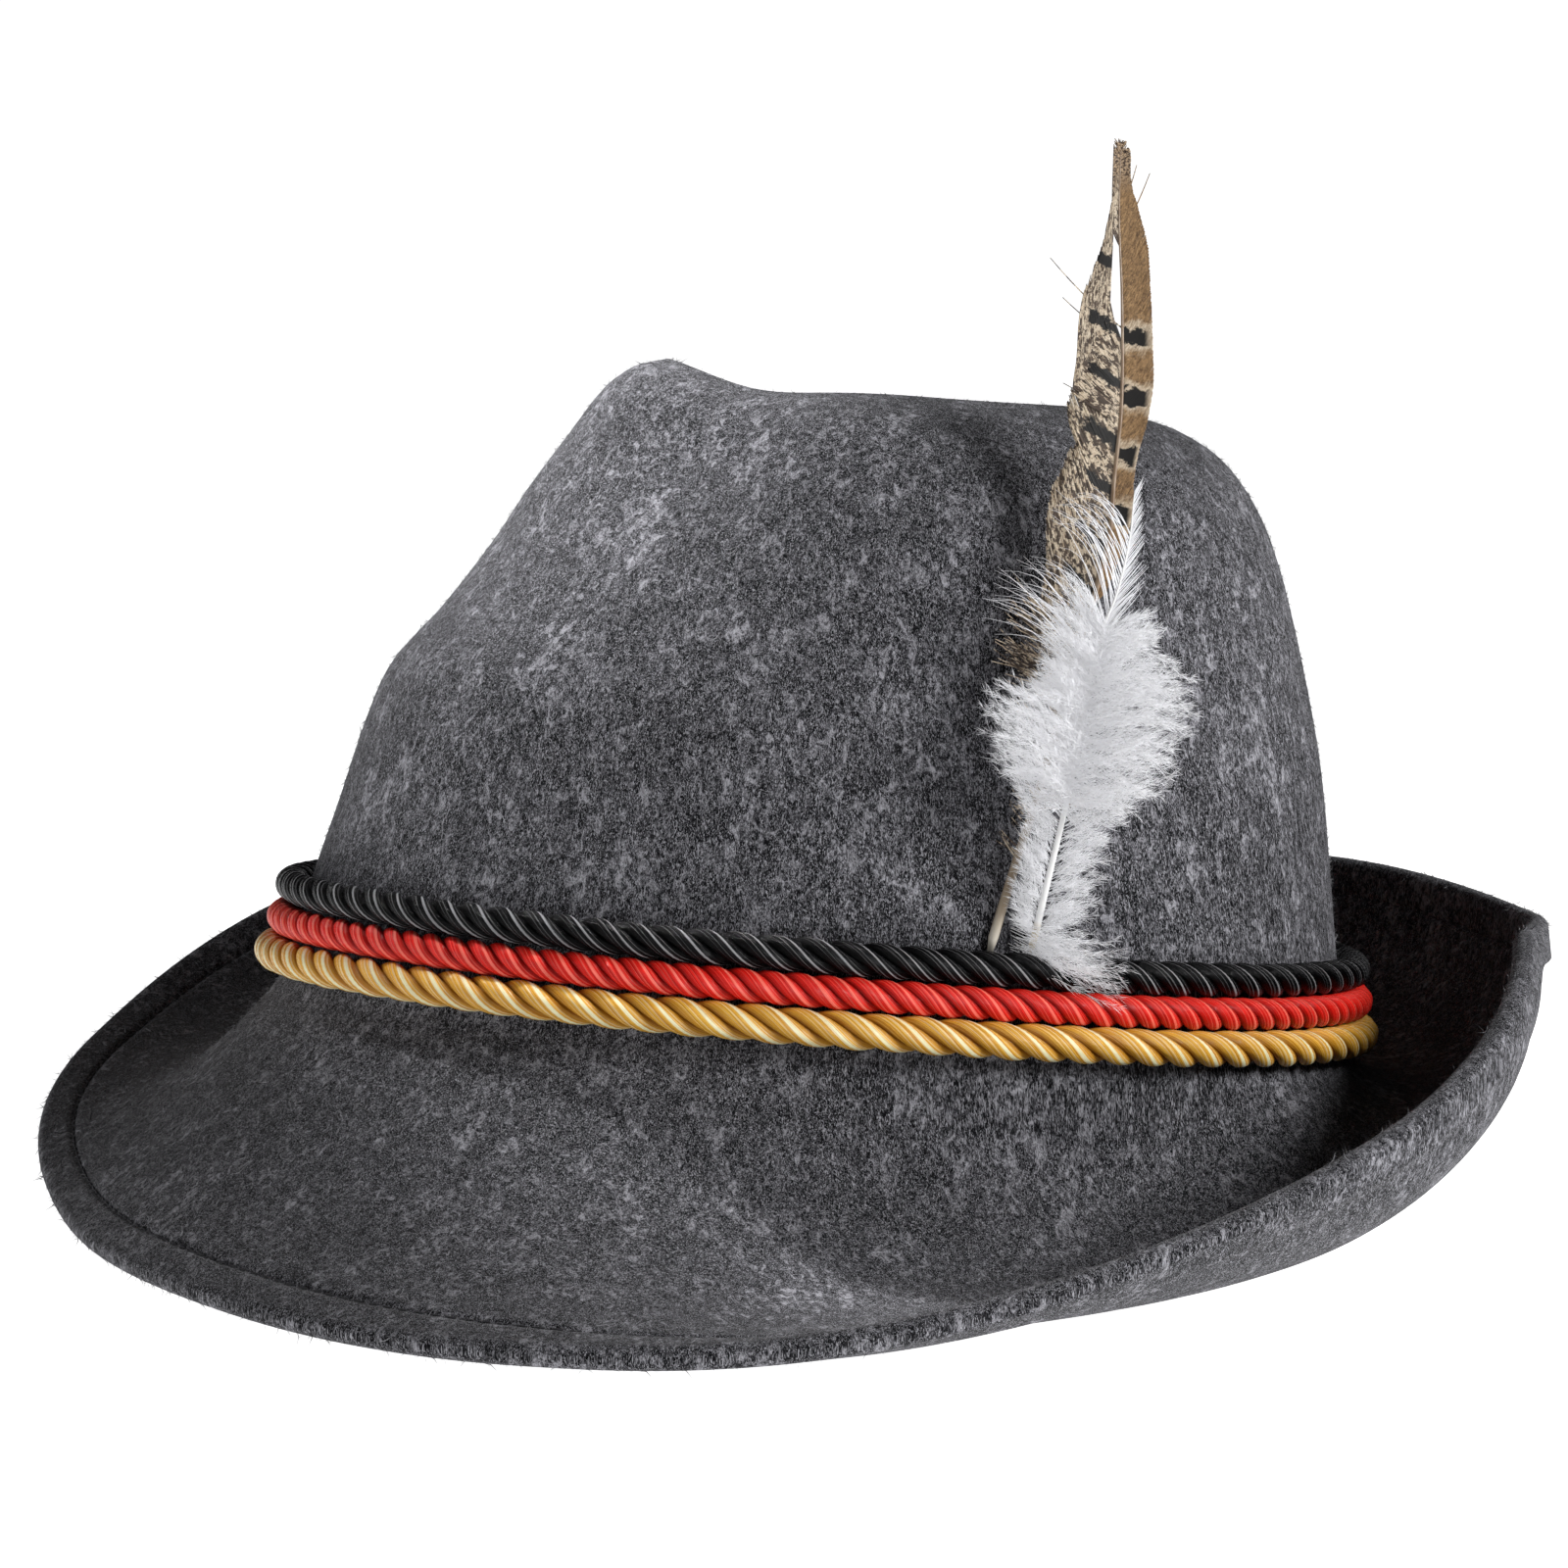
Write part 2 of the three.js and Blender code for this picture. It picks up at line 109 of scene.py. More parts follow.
hat = {
    "bandHalfLength": 0.1044,
    "bandHalfWidth": 0.0871,
    "crownHeight": 0.117,
    "feltWall": 0.0022,
    "brimWidth": 0.072,
    "hemWidth": 0.008,
    "hemThickness": 0.0044,
    "seatGap": 0.0003,
    "bandSaddle": 0.0012,
    "creaseDepth": 0.015,
    "pinchDepth": 0.007,
    "pinchAngle": 42,
    "pinchSpread": 26,
    "pinchHeight": 0.9,
    "pinchRise": 0.2,
    "pinchSink": 0.35,
    "creaseBack": 0.05,
    "creaseLevel": 0.965,
    "wallSlope": 78,
    "breakShare": 0.16,
    "restRoll": 6.0,
    "restPitch": 8.1,
}

# Crown: height share, then front, back and side reach as shares of the band's halves
crownRows = [
    (0.0, 1.0, 1.0, 1.0),
    (0.12, 0.972, 0.972, 0.972),
    (0.25, 0.935, 0.945, 0.94),
    (0.38, 0.9, 0.918, 0.905),
    (0.475, 0.862, 0.893, 0.875),
    (0.57, 0.78, 0.862, 0.84),
    (0.68, 0.702, 0.822, 0.795),
    (0.78, 0.645, 0.78, 0.755),
    (0.87, 0.585, 0.728, 0.695),
    (0.945, 0.53, 0.655, 0.61),
    (0.985, 0.475, 0.57, 0.52),
    (1.0, 0.42, 0.49, 0.445),
]
creaseRows = [(0, 1), (0.3, 0.93), (0.6, 0.58), (0.82, 0.2), (1, 0)]
# Angle, share of the saddle, share of the crown's height
roundRows = [
    (0, -3.0, 1),
    (40, -0.7, 0.975),
    (90, 1, 0.972),
    (140, 0.2, 0.985),
    (180, -1, 0.97),
    (230, -0.4, 0.95),
    (280, -0.4, 0.945),
    (325, -4.0, 0.975),
]
# Angle, width share, slope below level at the crown and at the edge
brimRows = [
    (0, 0.91, 56, 38),
    (30, 1.0, 53, 37),
    (60, 1.15, 58, 15),
    (90, 1.22, 99, -36),
    (120, 1.175, 101, -85),
    (150, 0.95, 48, -118),
    (165, 0.91, 38, -113),
    (180, 0.945, 33, -99),
    (210, 1.045, 30, -92),
    (240, 1.0, 36, -80),
    (270, 0.97, 44, -70),
    (300, 1.04, 50, -58),
    (330, 0.955, 58, -8),
]


def wallPoint(angle, share):
    turn = np.radians(angle)
    side, fore = np.sin(turn), np.cos(turn)
    front = fromRows(crownRows, 1, share)
    back = fromRows(crownRows, 2, share)
    reach = np.where(fore > 0, front, back)
    across = fromRows(crownRows, 3, share)
    lift = fromRows(roundRows, 1, angle, 360) * hat["bandSaddle"]
    top = mix(1, fromRows(roundRows, 2, angle, 360), share * share)
    return np.stack([
        side * across * hat["bandHalfWidth"],
        -fore * reach * hat["bandHalfLength"],
        share * hat["crownHeight"] * top + lift * (1 - share),
    ], -1)


def pinchDent(angle, share):
    depth = 0
    for side in (-1, 1):
        off = np.mod(angle - side * hat["pinchAngle"] + 540, 360) - 180
        around = np.exp(-((off / hat["pinchSpread"]) ** 2))
        depth = depth + around * math.exp(-(((share - hat["pinchHeight"]) / hat["pinchRise"]) ** 2))
    return depth * hat["pinchDepth"]


def crownPoint(angle, share):
    point = wallPoint(angle, share)
    dent = pinchDent(angle, share)
    level = np.hypot(point[:, 0], point[:, 1])
    point[:, 0] -= point[:, 0] / level * dent
    point[:, 1] -= point[:, 1] / level * dent
    point[:, 2] -= hat["pinchSink"] * dent
    return point


def topPoint(angle, share):
    ridge = crownPoint(angle, 1.0)
    depth = fromRows(creaseRows, 1, share) * hat["creaseDepth"]
    middle = np.array([0, hat["creaseBack"] * hat["bandHalfLength"], hat["crownHeight"]])
    point = middle + (ridge - middle) * share
    point[:, 2] = mix(hat["creaseLevel"] * hat["crownHeight"], ridge[:, 2], share) - depth
    return point


brimSteps = 48


def outward(angle):
    turn = np.radians(angle)
    flat = np.stack([np.sin(turn) / hat["bandHalfWidth"], -np.cos(turn) / hat["bandHalfLength"]], -1)
    return unit(flat)


def brimCurves(angle):
    width = fromRows(brimRows, 1, angle, 360) * hat["brimWidth"]
    first = fromRows(brimRows, 2, angle, 360)
    last = fromRows(brimRows, 3, angle, 360)
    start = wallPoint(angle, 0.0)
    out = outward(angle)
    points = [start]
    reach = np.zeros(len(angle))
    drop = np.zeros(len(angle))
    for i in range(brimSteps):
        share = (i + 0.5) / brimSteps
        ease = 0.5 * smoothStep(share) + 0.5 * share
        turned = mix(first, last, ease)
        slope = np.radians(mix(hat["wallSlope"], turned, smoothStep(share / hat["breakShare"])))
        reach = reach + np.cos(slope) * width / brimSteps
        drop = drop + np.sin(slope) * width / brimSteps
        flat = start[:, :2] + out * reach[:, None]
        points.append(np.concatenate([flat, (start[:, 2] - drop)[:, None]], 1))
    return np.stack(points, 1), width


def brimPoint(curves, share):
    at = np.clip(share, 0, 1) * brimSteps
    i = np.minimum(brimSteps - 1, np.floor(at).astype(int))
    rows = np.arange(len(curves))
    f = (at - i)[:, None]
    return curves[rows, i] * (1 - f) + curves[rows, i + 1] * f


# The band frame stands in the world as it does in the solids

turnRoll = Matrix.Rotation(math.radians(-hat["restRoll"]), 3, "Y")
turnPitch = Matrix.Rotation(math.radians(-hat["restPitch"]), 3, "X")
restTurn = np.array(turnPitch @ turnRoll)


def cordCentre(angle, height, thickness):
    wall = wallPoint(angle, height / hat["crownHeight"])
    out = outward(angle)
    lean = (1 - crownRows[1][1]) / crownRows[1][0] * hat["bandHalfLength"] / hat["crownHeight"]
    out = unit(np.concatenate([out, np.full((len(out), 1), lean)], 1))
    return wall + out * (thickness / 2 + hat["seatGap"])


def cordFrames(angle, height, thickness, step=0.5):
    centre = cordCentre(angle, height, thickness)
    along = unit(cordCentre(angle + step, height, thickness) - cordCentre(angle - step, height, thickness))
    out = unit(np.cross(along, [0, 0, 1]))
    return centre, along, out, unit(np.cross(out, along))


cordRows = {
    "gold_cord": {"thickness": 0.0066, "lead": 0.0212, "phase": 0.0},
    "red_cord": {"thickness": 0.0059, "lead": 0.0152, "phase": 0.9},
    "black_cord": {"thickness": 0.0061, "lead": 0.019, "phase": 2.1},
}
gold, red, black = cordRows["gold_cord"], cordRows["red_cord"], cordRows["black_cord"]
gold["height"] = -0.0008
red["height"] = gold["height"] + (gold["thickness"] + red["thickness"] + hat["seatGap"]) / 2
black["height"] = red["height"] + (red["thickness"] + black["thickness"] + hat["seatGap"]) / 2

cordSolid = {"steps": 84, "sides": 8}


def placeInWorld():
    # The solids' lowest cord tells where the band frame's origin went
    steps, sides = cordSolid["steps"], cordSolid["sides"]
    angle = np.arange(steps) * 360 / steps
    centre, along, out, up = cordFrames(angle, gold["height"], gold["thickness"], 180 / steps)
    turn = np.radians(np.arange(sides) * 360 / sides)
    ring = out[:, None] * np.cos(turn)[:, None] + up[:, None] * np.sin(turn)[:, None]
    points = (centre[:, None] + ring * gold["thickness"] / 2).reshape(-1, 3) @ restTurn.T
    low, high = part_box("gold_cord")
    return (np.array(low) + np.array(high)) / 2 - (points.min(0) + points.max(0)) / 2


restShift = placeInWorld()


def toWorld(points):
    return np.asarray(points) @ restTurn.T + restShift


# Shader helpers

def newMaterial(name, **values):
    material = bpy.data.materials.new(name)
    material.use_nodes = True
    shader = material.node_tree.nodes["Principled BSDF"]
    for key, value in values.items():
        shader.inputs[key].default_value = value
    return material, material.node_tree, shader


def addNode(tree, kind, inputs=None, **settings):
    node = tree.nodes.new(kind)
    for key, value in settings.items():
        setattr(node, key, value)
    for key, value in (inputs or {}).items():
        if isinstance(value, bpy.types.NodeSocket):
            tree.links.new(value, node.inputs[key])
        else:
            node.inputs[key].default_value = value
    return node


def stretched(tree, vector, scale, turn=(0, 0, 0)):
    node = addNode(tree, "ShaderNodeMapping", {"Vector": vector, "Scale": scale, "Rotation": turn})
    return node.outputs["Vector"]


def noiseAt(tree, vector, scale, detail=4.0, roughness=0.55, distortion=0.0):
    node = addNode(tree, "ShaderNodeTexNoise", {
        "Vector": vector, "Scale": scale, "Detail": detail,
        "Roughness": roughness, "Distortion": distortion})
    return node.outputs["Fac"]


def between(tree, value, low, high, outLow=0.0, outHigh=1.0):
    node = addNode(tree, "ShaderNodeMapRange", {
        "Value": value, "From Min": low, "From Max": high, "To Min": outLow, "To Max": outHigh})
    return node.outputs["Result"]


def blend(tree, fac, a, b):
    return addNode(tree, "ShaderNodeMix", {0: fac, 6: a, 7: b}, data_type="RGBA").outputs[2]


def maths(tree, operation, a, b=0.0):
    return addNode(tree, "ShaderNodeMath", {0: a, 1: b}, operation=operation).outputs[0]


def times(tree, a, b):
    return maths(tree, "MULTIPLY", a, b)


def apart(tree, a, b):
    return maths(tree, "ABSOLUTE", maths(tree, "SUBTRACT", a, b))


def placeOf(tree):
    return addNode(tree, "ShaderNodeTexCoord").outputs["Object"]


def uvOf(tree):
    return addNode(tree, "ShaderNodeUVMap", uv_map="UVMap").outputs["UV"]


def axisOf(tree, vector, axis):
    return addNode(tree, "ShaderNodeSeparateXYZ", {"Vector": vector}).outputs[axis]


def markOf(tree, name):
    return addNode(tree, "ShaderNodeAttribute", attribute_name=name).outputs["Fac"]


def paint(tree, shader, colour):
    tree.links.new(colour, shader.inputs["Base Color"])


def addBump(tree, shader, height, distance, strength=1.0):
    node = addNode(tree, "ShaderNodeBump", {
        "Height": height, "Distance": distance, "Strength": strength})
    tree.links.new(node.outputs["Normal"], shader.inputs["Normal"])


# Felt: dark and light wool matted together, with short fibres running down the form

feltLook = {
    "dark": (0.003, 0.003, 0.004, 1),
    "middle": (0.05, 0.049, 0.056, 1),
    "light": (0.4, 0.397, 0.43, 1),
    # stretch, turn, scale, detail, roughness, distortion, from, to, darkest, lightest
    "clouds": [
        (1, (0, 0, 0), 40, 3, 0.6, 0, 0.32, 0.68, -0.2, 0.2),
        (0.6, (0, 0, 0), 150, 3, 0.65, 0.4, 0.32, 0.68, -0.42, 0.36),
        (0.6, (0.35, 0.1, 0), 600, 4, 0.7, 0.9, 0.36, 0.64, -0.5, 0.95),
    ],
    # turn of the fibres, scale across them, share of it along them, from and to, colour
    "fibres": [
        ((0.3, 0.15, 0), 2300, 0.12, 0.55, 0.63, "dark"),
        ((-0.4, 0.1, 0.4), 2400, 0.12, 0.57, 0.66, "light"),
        ((0.9, -0.4, 0.9), 2300, 0.13, 0.56, 0.64, "dark"),
        ((-0.9, 0.5, 1.4), 2200, 0.12, 0.59, 0.67, "light"),
        ((1.5, 0.7, 0.2), 2500, 0.12, 0.61, 0.69, "light"),
    ],
    "fibreStrength": 0.82,
    "fibreRelief": 0.4,
}


def makeFeltMaterial():
    material, tree, shader = newMaterial("greyFelt", **{
        "Roughness": 0.95, "Sheen Weight": 0.12, "Sheen Roughness": 0.3, "Specular IOR Level": 0.1})
    place = placeOf(tree)
    base = 0
    for along, turn, scale, detail, rough, swirl, low, high, dark, light in feltLook["clouds"]:
        cloud = noiseAt(tree, stretched(tree, place, (1, 1, along), turn), scale, detail, rough, swirl)
        base = maths(tree, "ADD", base, between(tree, cloud, low, high, dark, light))
    shade = blend(tree, between(tree, base, 0.0, 0.5), feltLook["dark"], feltLook["middle"])
    shade = blend(tree, between(tree, base, 0.5, 1.25), shade, feltLook["light"])
    relief = cloud
    for turn, scale, along, low, high, tone in feltLook["fibres"]:
        fibre = noiseAt(tree, stretched(tree, place, (1, 1, along), turn), scale, 2, 0.5, 2.4)
        shown = between(tree, fibre, low, high, 0, feltLook["fibreStrength"])
        shade = blend(tree, shown, shade, feltLook[tone])
        relief = maths(tree, "ADD", relief, times(tree, fibre, feltLook["fibreRelief"]))
    paint(tree, shader, shade)
    addBump(tree, shader, relief, 0.0004, 0.6)
    return material


feltMaterial = makeFeltMaterial()

feltCut = {
    "around": 300,
    "edgeRadius": 0.0021,
    "grooveDepth": 0.0006,
    "grooveWidth": 0.0007,
    "grooveStart": 0.002,
    "hemFold": 0.0004,
    "skinLift": 0.0003,
}
topShares = [0.05, 0.14, 0.23, 0.32, 0.41, 0.5, 0.58, 0.66, 0.74, 0.81, 0.87, 0.92, 0.965]
wallShares = [1, 0.997, 0.992, 0.984, 0.974, 0.96, 0.945, 0.928, 0.91, 0.89, 0.87] + [
    0.845 - 0.0254 * i for i in range(33)]
brimShares = [i / 34 for i in range(34)]
# Distances from the stitches, and from the brim's edge above and below it
grooveSteps = [0.0015, 0.001, 0.0006, 0.0003, 0, -0.0003, -0.0006, -0.001, -0.0018]
edgeSteps = [0.0052, 0.004, 0.003]
underSteps = [0.0035, 0.005, 0.0065]


def feltSurfaces():
    angle = np.arange(feltCut["around"]) * 360 / feltCut["around"]
    curves, width = brimCurves(angle)
    outer = [topPoint(angle, share) for share in topShares]
    outer += [crownPoint(angle, share) for share in wallShares]
    hem, fold, thick = hat["hemWidth"], feltCut["hemFold"], hat["hemThickness"]
    flatShare = 1 - (hem + feltCut["grooveStart"]) / width
    outer += [brimPoint(curves, share * flatShare) for share in brimShares]

    def inFromEdge(distance):
        return brimPoint(curves, 1 - distance / width)

    distances = [hem + d for d in grooveSteps] + edgeSteps
    flat = outer + [inFromEdge(d) for d in distances + [0]]
    top = topPoint(np.zeros(1), 0.0)[0]
    stack = np.stack(flat)
    above = np.concatenate([np.broadcast_to(top, stack[:1].shape), stack[:-1]])
    below = np.concatenate([stack[1:], stack[-1:]])
    across = np.roll(stack, -1, 1) - np.roll(stack, 1, 1)
    normal = unit(np.cross(below - above, across))
    dips = [math.exp(-(((d - hem) / feltCut["grooveWidth"]) ** 2)) for d in distances]
    count = len(outer)
    edge = [flat[i] - normal[i] * feltCut["grooveDepth"] * dip for i, dip in enumerate(dips, count)]
    edgeNormal = normal[-2]
    for turn in range(0, 181, 15):
        back = feltCut["edgeRadius"] * (1 - math.sin(math.radians(turn)))
        deep = thick / 2 - (thick / 2) * math.cos(math.radians(turn))
        edge.append(inFromEdge(back) - edgeNormal * deep)
    under = [inFromEdge(d) - edgeNormal * thick for d in underSteps + [hem - fold]]
    under += [inFromEdge(hem) - edgeNormal * (thick - fold),
              inFromEdge(hem + fold / 2) - edgeNormal * (hat["feltWall"] + fold)]
    inner = [stack[i] - normal[i] * hat["feltWall"] for i in range(count)]
    return top, outer, edge, under, inner[::-1]


def ringFaces(rings, around):
    faces = []
    i = np.arange(around)
    j = (i + 1) % around
    for r in range(rings - 1):
        a = r * around
        faces += np.stack([a + i, a + around + i, a + around + j, a + j], 1).tolist()
    return faces


def makeFelt():
    top, outer, edge, under, lining = feltSurfaces()
    around = feltCut["around"]
    rings = outer + edge + under + lining
    points = np.concatenate(rings)
    faces = ringFaces(len(rings), around)
    first, last = len(points), len(points) + 1
    bottom = top - np.array([0, 0, hat["feltWall"]])
    points = np.concatenate([points, [top, bottom]])
    tail = (len(rings) - 1) * around
    for i in range(around):
        j = (i + 1) % around
        faces.append((first, i, j))
        faces.append((last, tail + j, tail + i))
    points = toWorld(points)
    points[:, 2] = np.maximum(points[:, 2], 0)
    body = makeObject("feltBody", points, faces, feltMaterial)
    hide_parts("felt_body")
    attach(body, "root")
    outside = toWorld(np.concatenate(outer + edge))
    outside[:, 2] = np.maximum(outside[:, 2], feltCut["skinLift"])
    return makeObject("napGround", outside, ringFaces(len(outer + edge), around), feltMaterial)


napGround = makeFelt()
print("felt made")


# Geometry Nodes helpers

def newTree(name, **sockets):
    tree = bpy.data.node_groups.new(name, "GeometryNodeTree")
    tree.interface.new_socket("Geometry", in_out="INPUT", socket_type="NodeSocketGeometry")
    for label, kind in sockets.items():
        tree.interface.new_socket(label, in_out="INPUT", socket_type="NodeSocket" + kind)
    tree.interface.new_socket("Geometry", in_out="OUTPUT", socket_type="NodeSocketGeometry")
    return tree, tree.nodes.new("NodeGroupInput").outputs


def endTree(tree, geometry, material):
    real = addNode(tree, "GeometryNodeRealizeInstances", {"Geometry": geometry})
    done = addNode(tree, "GeometryNodeSetMaterial", {
        "Geometry": real.outputs["Geometry"], "Material": material})
    addNode(tree, "NodeGroupOutput", {"Geometry": done.outputs["Geometry"]})
    return tree


def bakeTree(source, tree, values, name, material):
    modifier = source.modifiers.new(tree.name, "NODES")
    modifier.node_group = tree
    for item in tree.interface.items_tree:
        if item.item_type == "SOCKET" and item.in_out == "INPUT" and item.name in values:
            modifier[item.identifier] = values[item.name]
    evaluated = source.evaluated_get(bpy.context.evaluated_depsgraph_get())
    mesh = bpy.data.meshes.new_from_object(evaluated)
    source.modifiers.remove(modifier)
    mesh.materials.clear()
    mesh.materials.append(material)
    return addObject(name, mesh)


# Nap: single wool fibres lying on the felt and standing off its edges

nap = {
    "lying": {"Density": 248000.0, "Length": 0.0028, "Thickness": 0.000065, "Lift": 0.08, "Seed": 3},
    "standing": {"Density": 248000.0, "Length": 0.0012, "Thickness": 0.00004, "Lift": 0.7, "Seed": 8},
    "light": (0.42, 0.42, 0.44, 1),
    "dark": (0.02, 0.02, 0.023, 1),
    "widen": 12.0,  # the unit fibre is slim, so its width is scaled up
    "sizes": (0.45, 1.3),
    "sway": 0.2,
    "spin": 6.283,
    "upright": 1.5,
    "bend": 0.16,
    "floorGap": 0.0001,
}


def makeNapMaterial():
    material, tree, shader = newMaterial("napWool", **{"Roughness": 0.9, "Specular IOR Level": 0.2})
    shown = between(tree, markOf(tree, "tone"), 0.25, 1.0)
    paint(tree, shader, blend(tree, shown, nap["dark"], nap["light"]))
    return material


def makeFibre():
    # A bent spindle, one unit long
    ring = [(0.05, 0, 0.5), (-0.03, 0.04, 0.5), (-0.03, -0.04, 0.5)]
    points = [(0, 0, 0)] + [(x * 0.6 + nap["bend"], y * 0.6, z) for x, y, z in ring] + [(0, 0, 1)]
    faces = [(0, 2, 1), (0, 3, 2), (0, 1, 3), (4, 1, 2), (4, 2, 3), (4, 3, 1)]
    return makeObject("napFibre", points, faces, feltMaterial)


def turnedBy(tree, rotation, turn):
    return addNode(tree, "FunctionNodeRotateRotation", {
        "Rotation": rotation, "Rotate By": turn}, rotation_space="LOCAL").outputs["Rotation"]


def makeNapTree(fibre):
    tree, given = newTree(
        "feltNap", Density="Float", Length="Float", Thickness="Float", Lift="Float", Seed="Int",
        Wool="Material")
    seed = given["Seed"]
    scatter = addNode(tree, "GeometryNodeDistributePointsOnFaces", {
        "Mesh": given["Geometry"], "Density": given["Density"], "Seed": seed})
    source = addNode(tree, "GeometryNodeObjectInfo", {"Object": fibre})
    sway = nap["sway"]
    turn = addNode(tree, "FunctionNodeRandomValue", {
        "Seed": seed, "Min": (-sway, -sway, 0), "Max": (sway, sway, nap["spin"])}, data_type="FLOAT_VECTOR")
    spun = turnedBy(tree, scatter.outputs["Rotation"], turn.outputs["Value"])
    tilt = maths(tree, "SUBTRACT", nap["upright"], given["Lift"])
    lean = addNode(tree, "ShaderNodeCombineXYZ", {"Y": tilt})
    size = addNode(tree, "FunctionNodeRandomValue", {
        "Seed": seed, 2: nap["sizes"][0], 3: nap["sizes"][1]})
    longer = times(tree, size.outputs[1], given["Length"])
    scale = addNode(tree, "ShaderNodeCombineXYZ", {
        "X": longer, "Y": times(tree, given["Thickness"], nap["widen"]), "Z": longer})
    placed = addNode(tree, "GeometryNodeInstanceOnPoints", {
        "Points": scatter.outputs["Points"], "Instance": source.outputs["Geometry"],
        "Rotation": turnedBy(tree, spun, lean.outputs["Vector"]), "Scale": scale.outputs["Vector"]})
    tone = addNode(tree, "FunctionNodeRandomValue", {
        "Seed": seed, "ID": addNode(tree, "GeometryNodeInputIndex").outputs[0]})
    stored = addNode(tree, "GeometryNodeStoreNamedAttribute", {
        "Geometry": placed.outputs["Instances"], "Name": "tone", "Value": tone.outputs[1]},
        data_type="FLOAT", domain="INSTANCE")
    return endTree(tree, stored.outputs["Geometry"], given["Wool"])


def makeNap():
    wool = makeNapMaterial()
    fibre = makeFibre()
    tree = makeNapTree(fibre)
    for key in ("lying", "standing"):
        values = dict(nap[key], Wool=wool)
        piece = bakeTree(napGround, tree, values, key + "Nap", wool)
        places = np.empty(len(piece.data.vertices) * 3)
        piece.data.vertices.foreach_get("co", places)
        places[2::3] = np.maximum(places[2::3], nap["floorGap"])
        piece.data.vertices.foreach_set("co", places)
        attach(piece, "root")
        print(key, "nap faces", len(piece.data.polygons))
    bpy.data.objects.remove(fibre)
    bpy.data.objects.remove(napGround)


makeNap()


# Stitches: one row of dark thread round the brim, in the groove of the hem

stitch = {
    "row": {"Spacing": 0.0032, "Length": 0.0021, "Thickness": 0.00042},
    "sink": 0.0002,
    "steps": 720,
    "inside": 0.003,  # a second line this far in gives the felt's slope
    "dark": (0.012, 0.012, 0.014, 1),
    "light": (0.05, 0.05, 0.056, 1),
}


def makeStitchTree():
    tree, given = newTree(
        "hemStitches", Spacing="Float", Length="Float", Thickness="Float", Thread="Material")
    curve = addNode(tree, "GeometryNodeMeshToCurve", {"Mesh": given["Geometry"]})
    spaced = addNode(tree, "GeometryNodeResampleCurve", {
        "Curve": curve.outputs["Curve"], "Length": given["Spacing"]}, mode="LENGTH")
    tangent = addNode(tree, "GeometryNodeInputTangent")
    facing = addNode(tree, "FunctionNodeAlignRotationToVector", {"Vector": tangent.outputs[0]}, axis="Z")
    bead = addNode(tree, "GeometryNodeMeshUVSphere", {"Segments": 8, "Rings": 6, "Radius": 0.5})
    scale = addNode(tree, "ShaderNodeCombineXYZ", {
        "X": given["Thickness"], "Y": given["Thickness"], "Z": given["Length"]})
    placed = addNode(tree, "GeometryNodeInstanceOnPoints", {
        "Points": spaced.outputs["Curve"], "Instance": bead.outputs["Mesh"],
        "Rotation": facing.outputs["Rotation"], "Scale": scale.outputs["Vector"]})
    return endTree(tree, placed.outputs["Instances"], given["Thread"])


def makeThreadMaterial():
    material, tree, shader = newMaterial("darkThread", Roughness=0.6)
    fuzz = noiseAt(tree, placeOf(tree), 3000, 2)
    paint(tree, shader, blend(tree, fuzz, stitch["dark"], stitch["light"]))
    return material


def makeStitches():
    thread = makeThreadMaterial()
    steps, row = stitch["steps"], stitch["row"]
    angle = np.arange(steps) * 360 / steps
    curves, width = brimCurves(angle)
    line = brimPoint(curves, 1 - hat["hemWidth"] / width)
    inner = brimPoint(curves, 1 - (hat["hemWidth"] + stitch["inside"]) / width)
    normal = unit(np.cross(line - inner, np.roll(line, -1, 0) - np.roll(line, 1, 0)))
    points = toWorld(line - normal * (feltCut["grooveDepth"] - stitch["sink"]))
    points[:, 2] = np.maximum(points[:, 2], row["Thickness"])
    mesh = bpy.data.meshes.new("stitchLine")
    mesh.from_pydata([tuple(p) for p in points], [(i, (i + 1) % steps) for i in range(steps)], [])
    path = addObject("stitchLine", mesh)
    piece = bakeTree(path, makeStitchTree(), dict(row, Thread=thread), "hemStitches", thread)
    bpy.data.objects.remove(path)
    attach(piece, "root")


makeStitches()
print("nap and stitches made")


# Cords: three satin strands laid together, each with fine filaments along it

cordLooks = {
    # painted shade where the strands meet, two tones of the filaments, and the painted highlight lines
    # along each strand
    "gold_cord": {"paintedValleyShade": (0.26, 0.07, 0.002, 1), "dark": (0.55, 0.19, 0.006, 1),
                  "light": (1.0, 0.58, 0.07, 1), "paintedCrestHighlight": (1.0, 0.95, 0.62, 1),
                  "slot": "gold_satin", "gloss": 0.35, "paintedHighlightWidth": 0.95},
    "red_cord": {"paintedValleyShade": (0.07, 0.0005, 0.0005, 1), "dark": (0.45, 0.002, 0.0015, 1),
                 "light": (1.0, 0.02, 0.012, 1), "paintedCrestHighlight": (1.0, 0.2, 0.14, 1),
                 "slot": "red_satin", "gloss": 0.25, "paintedHighlightWidth": 0.8},
    "black_cord": {"paintedValleyShade": (0.0003, 0.0003, 0.0004, 1), "dark": (0.0006, 0.0006, 0.0008, 1),
                   "light": (0.002, 0.002, 0.0025, 1), "paintedCrestHighlight": (0.3, 0.3, 0.31, 1),
                   "slot": "black_satin", "gloss": 0.12, "paintedHighlightWidth": 0.5},
}
strand = {
    "share": 0.5,
    "orbit": 0.53,
    "oval": 1.08,
    "sides": 14,
    "stepsPerLead": 24,
    "fineSteps": 4001,  # for measuring the way round the crown
    "uvPerMetre": 10,
    "waver": 0.05,
    "waves": [(17, 2), (47, 5)],  # swells round the hat, and their shift from strand to strand
}
# Painted highlight lines round a strand: middle and half width as shares of the way round, strength
paintedStrandHighlights = [(0.425, 0.05, 1.0), (0.54, 0.02, 0.45), (0.34, 0.016, 0.35), (0.61, 0.012, 0.3)]


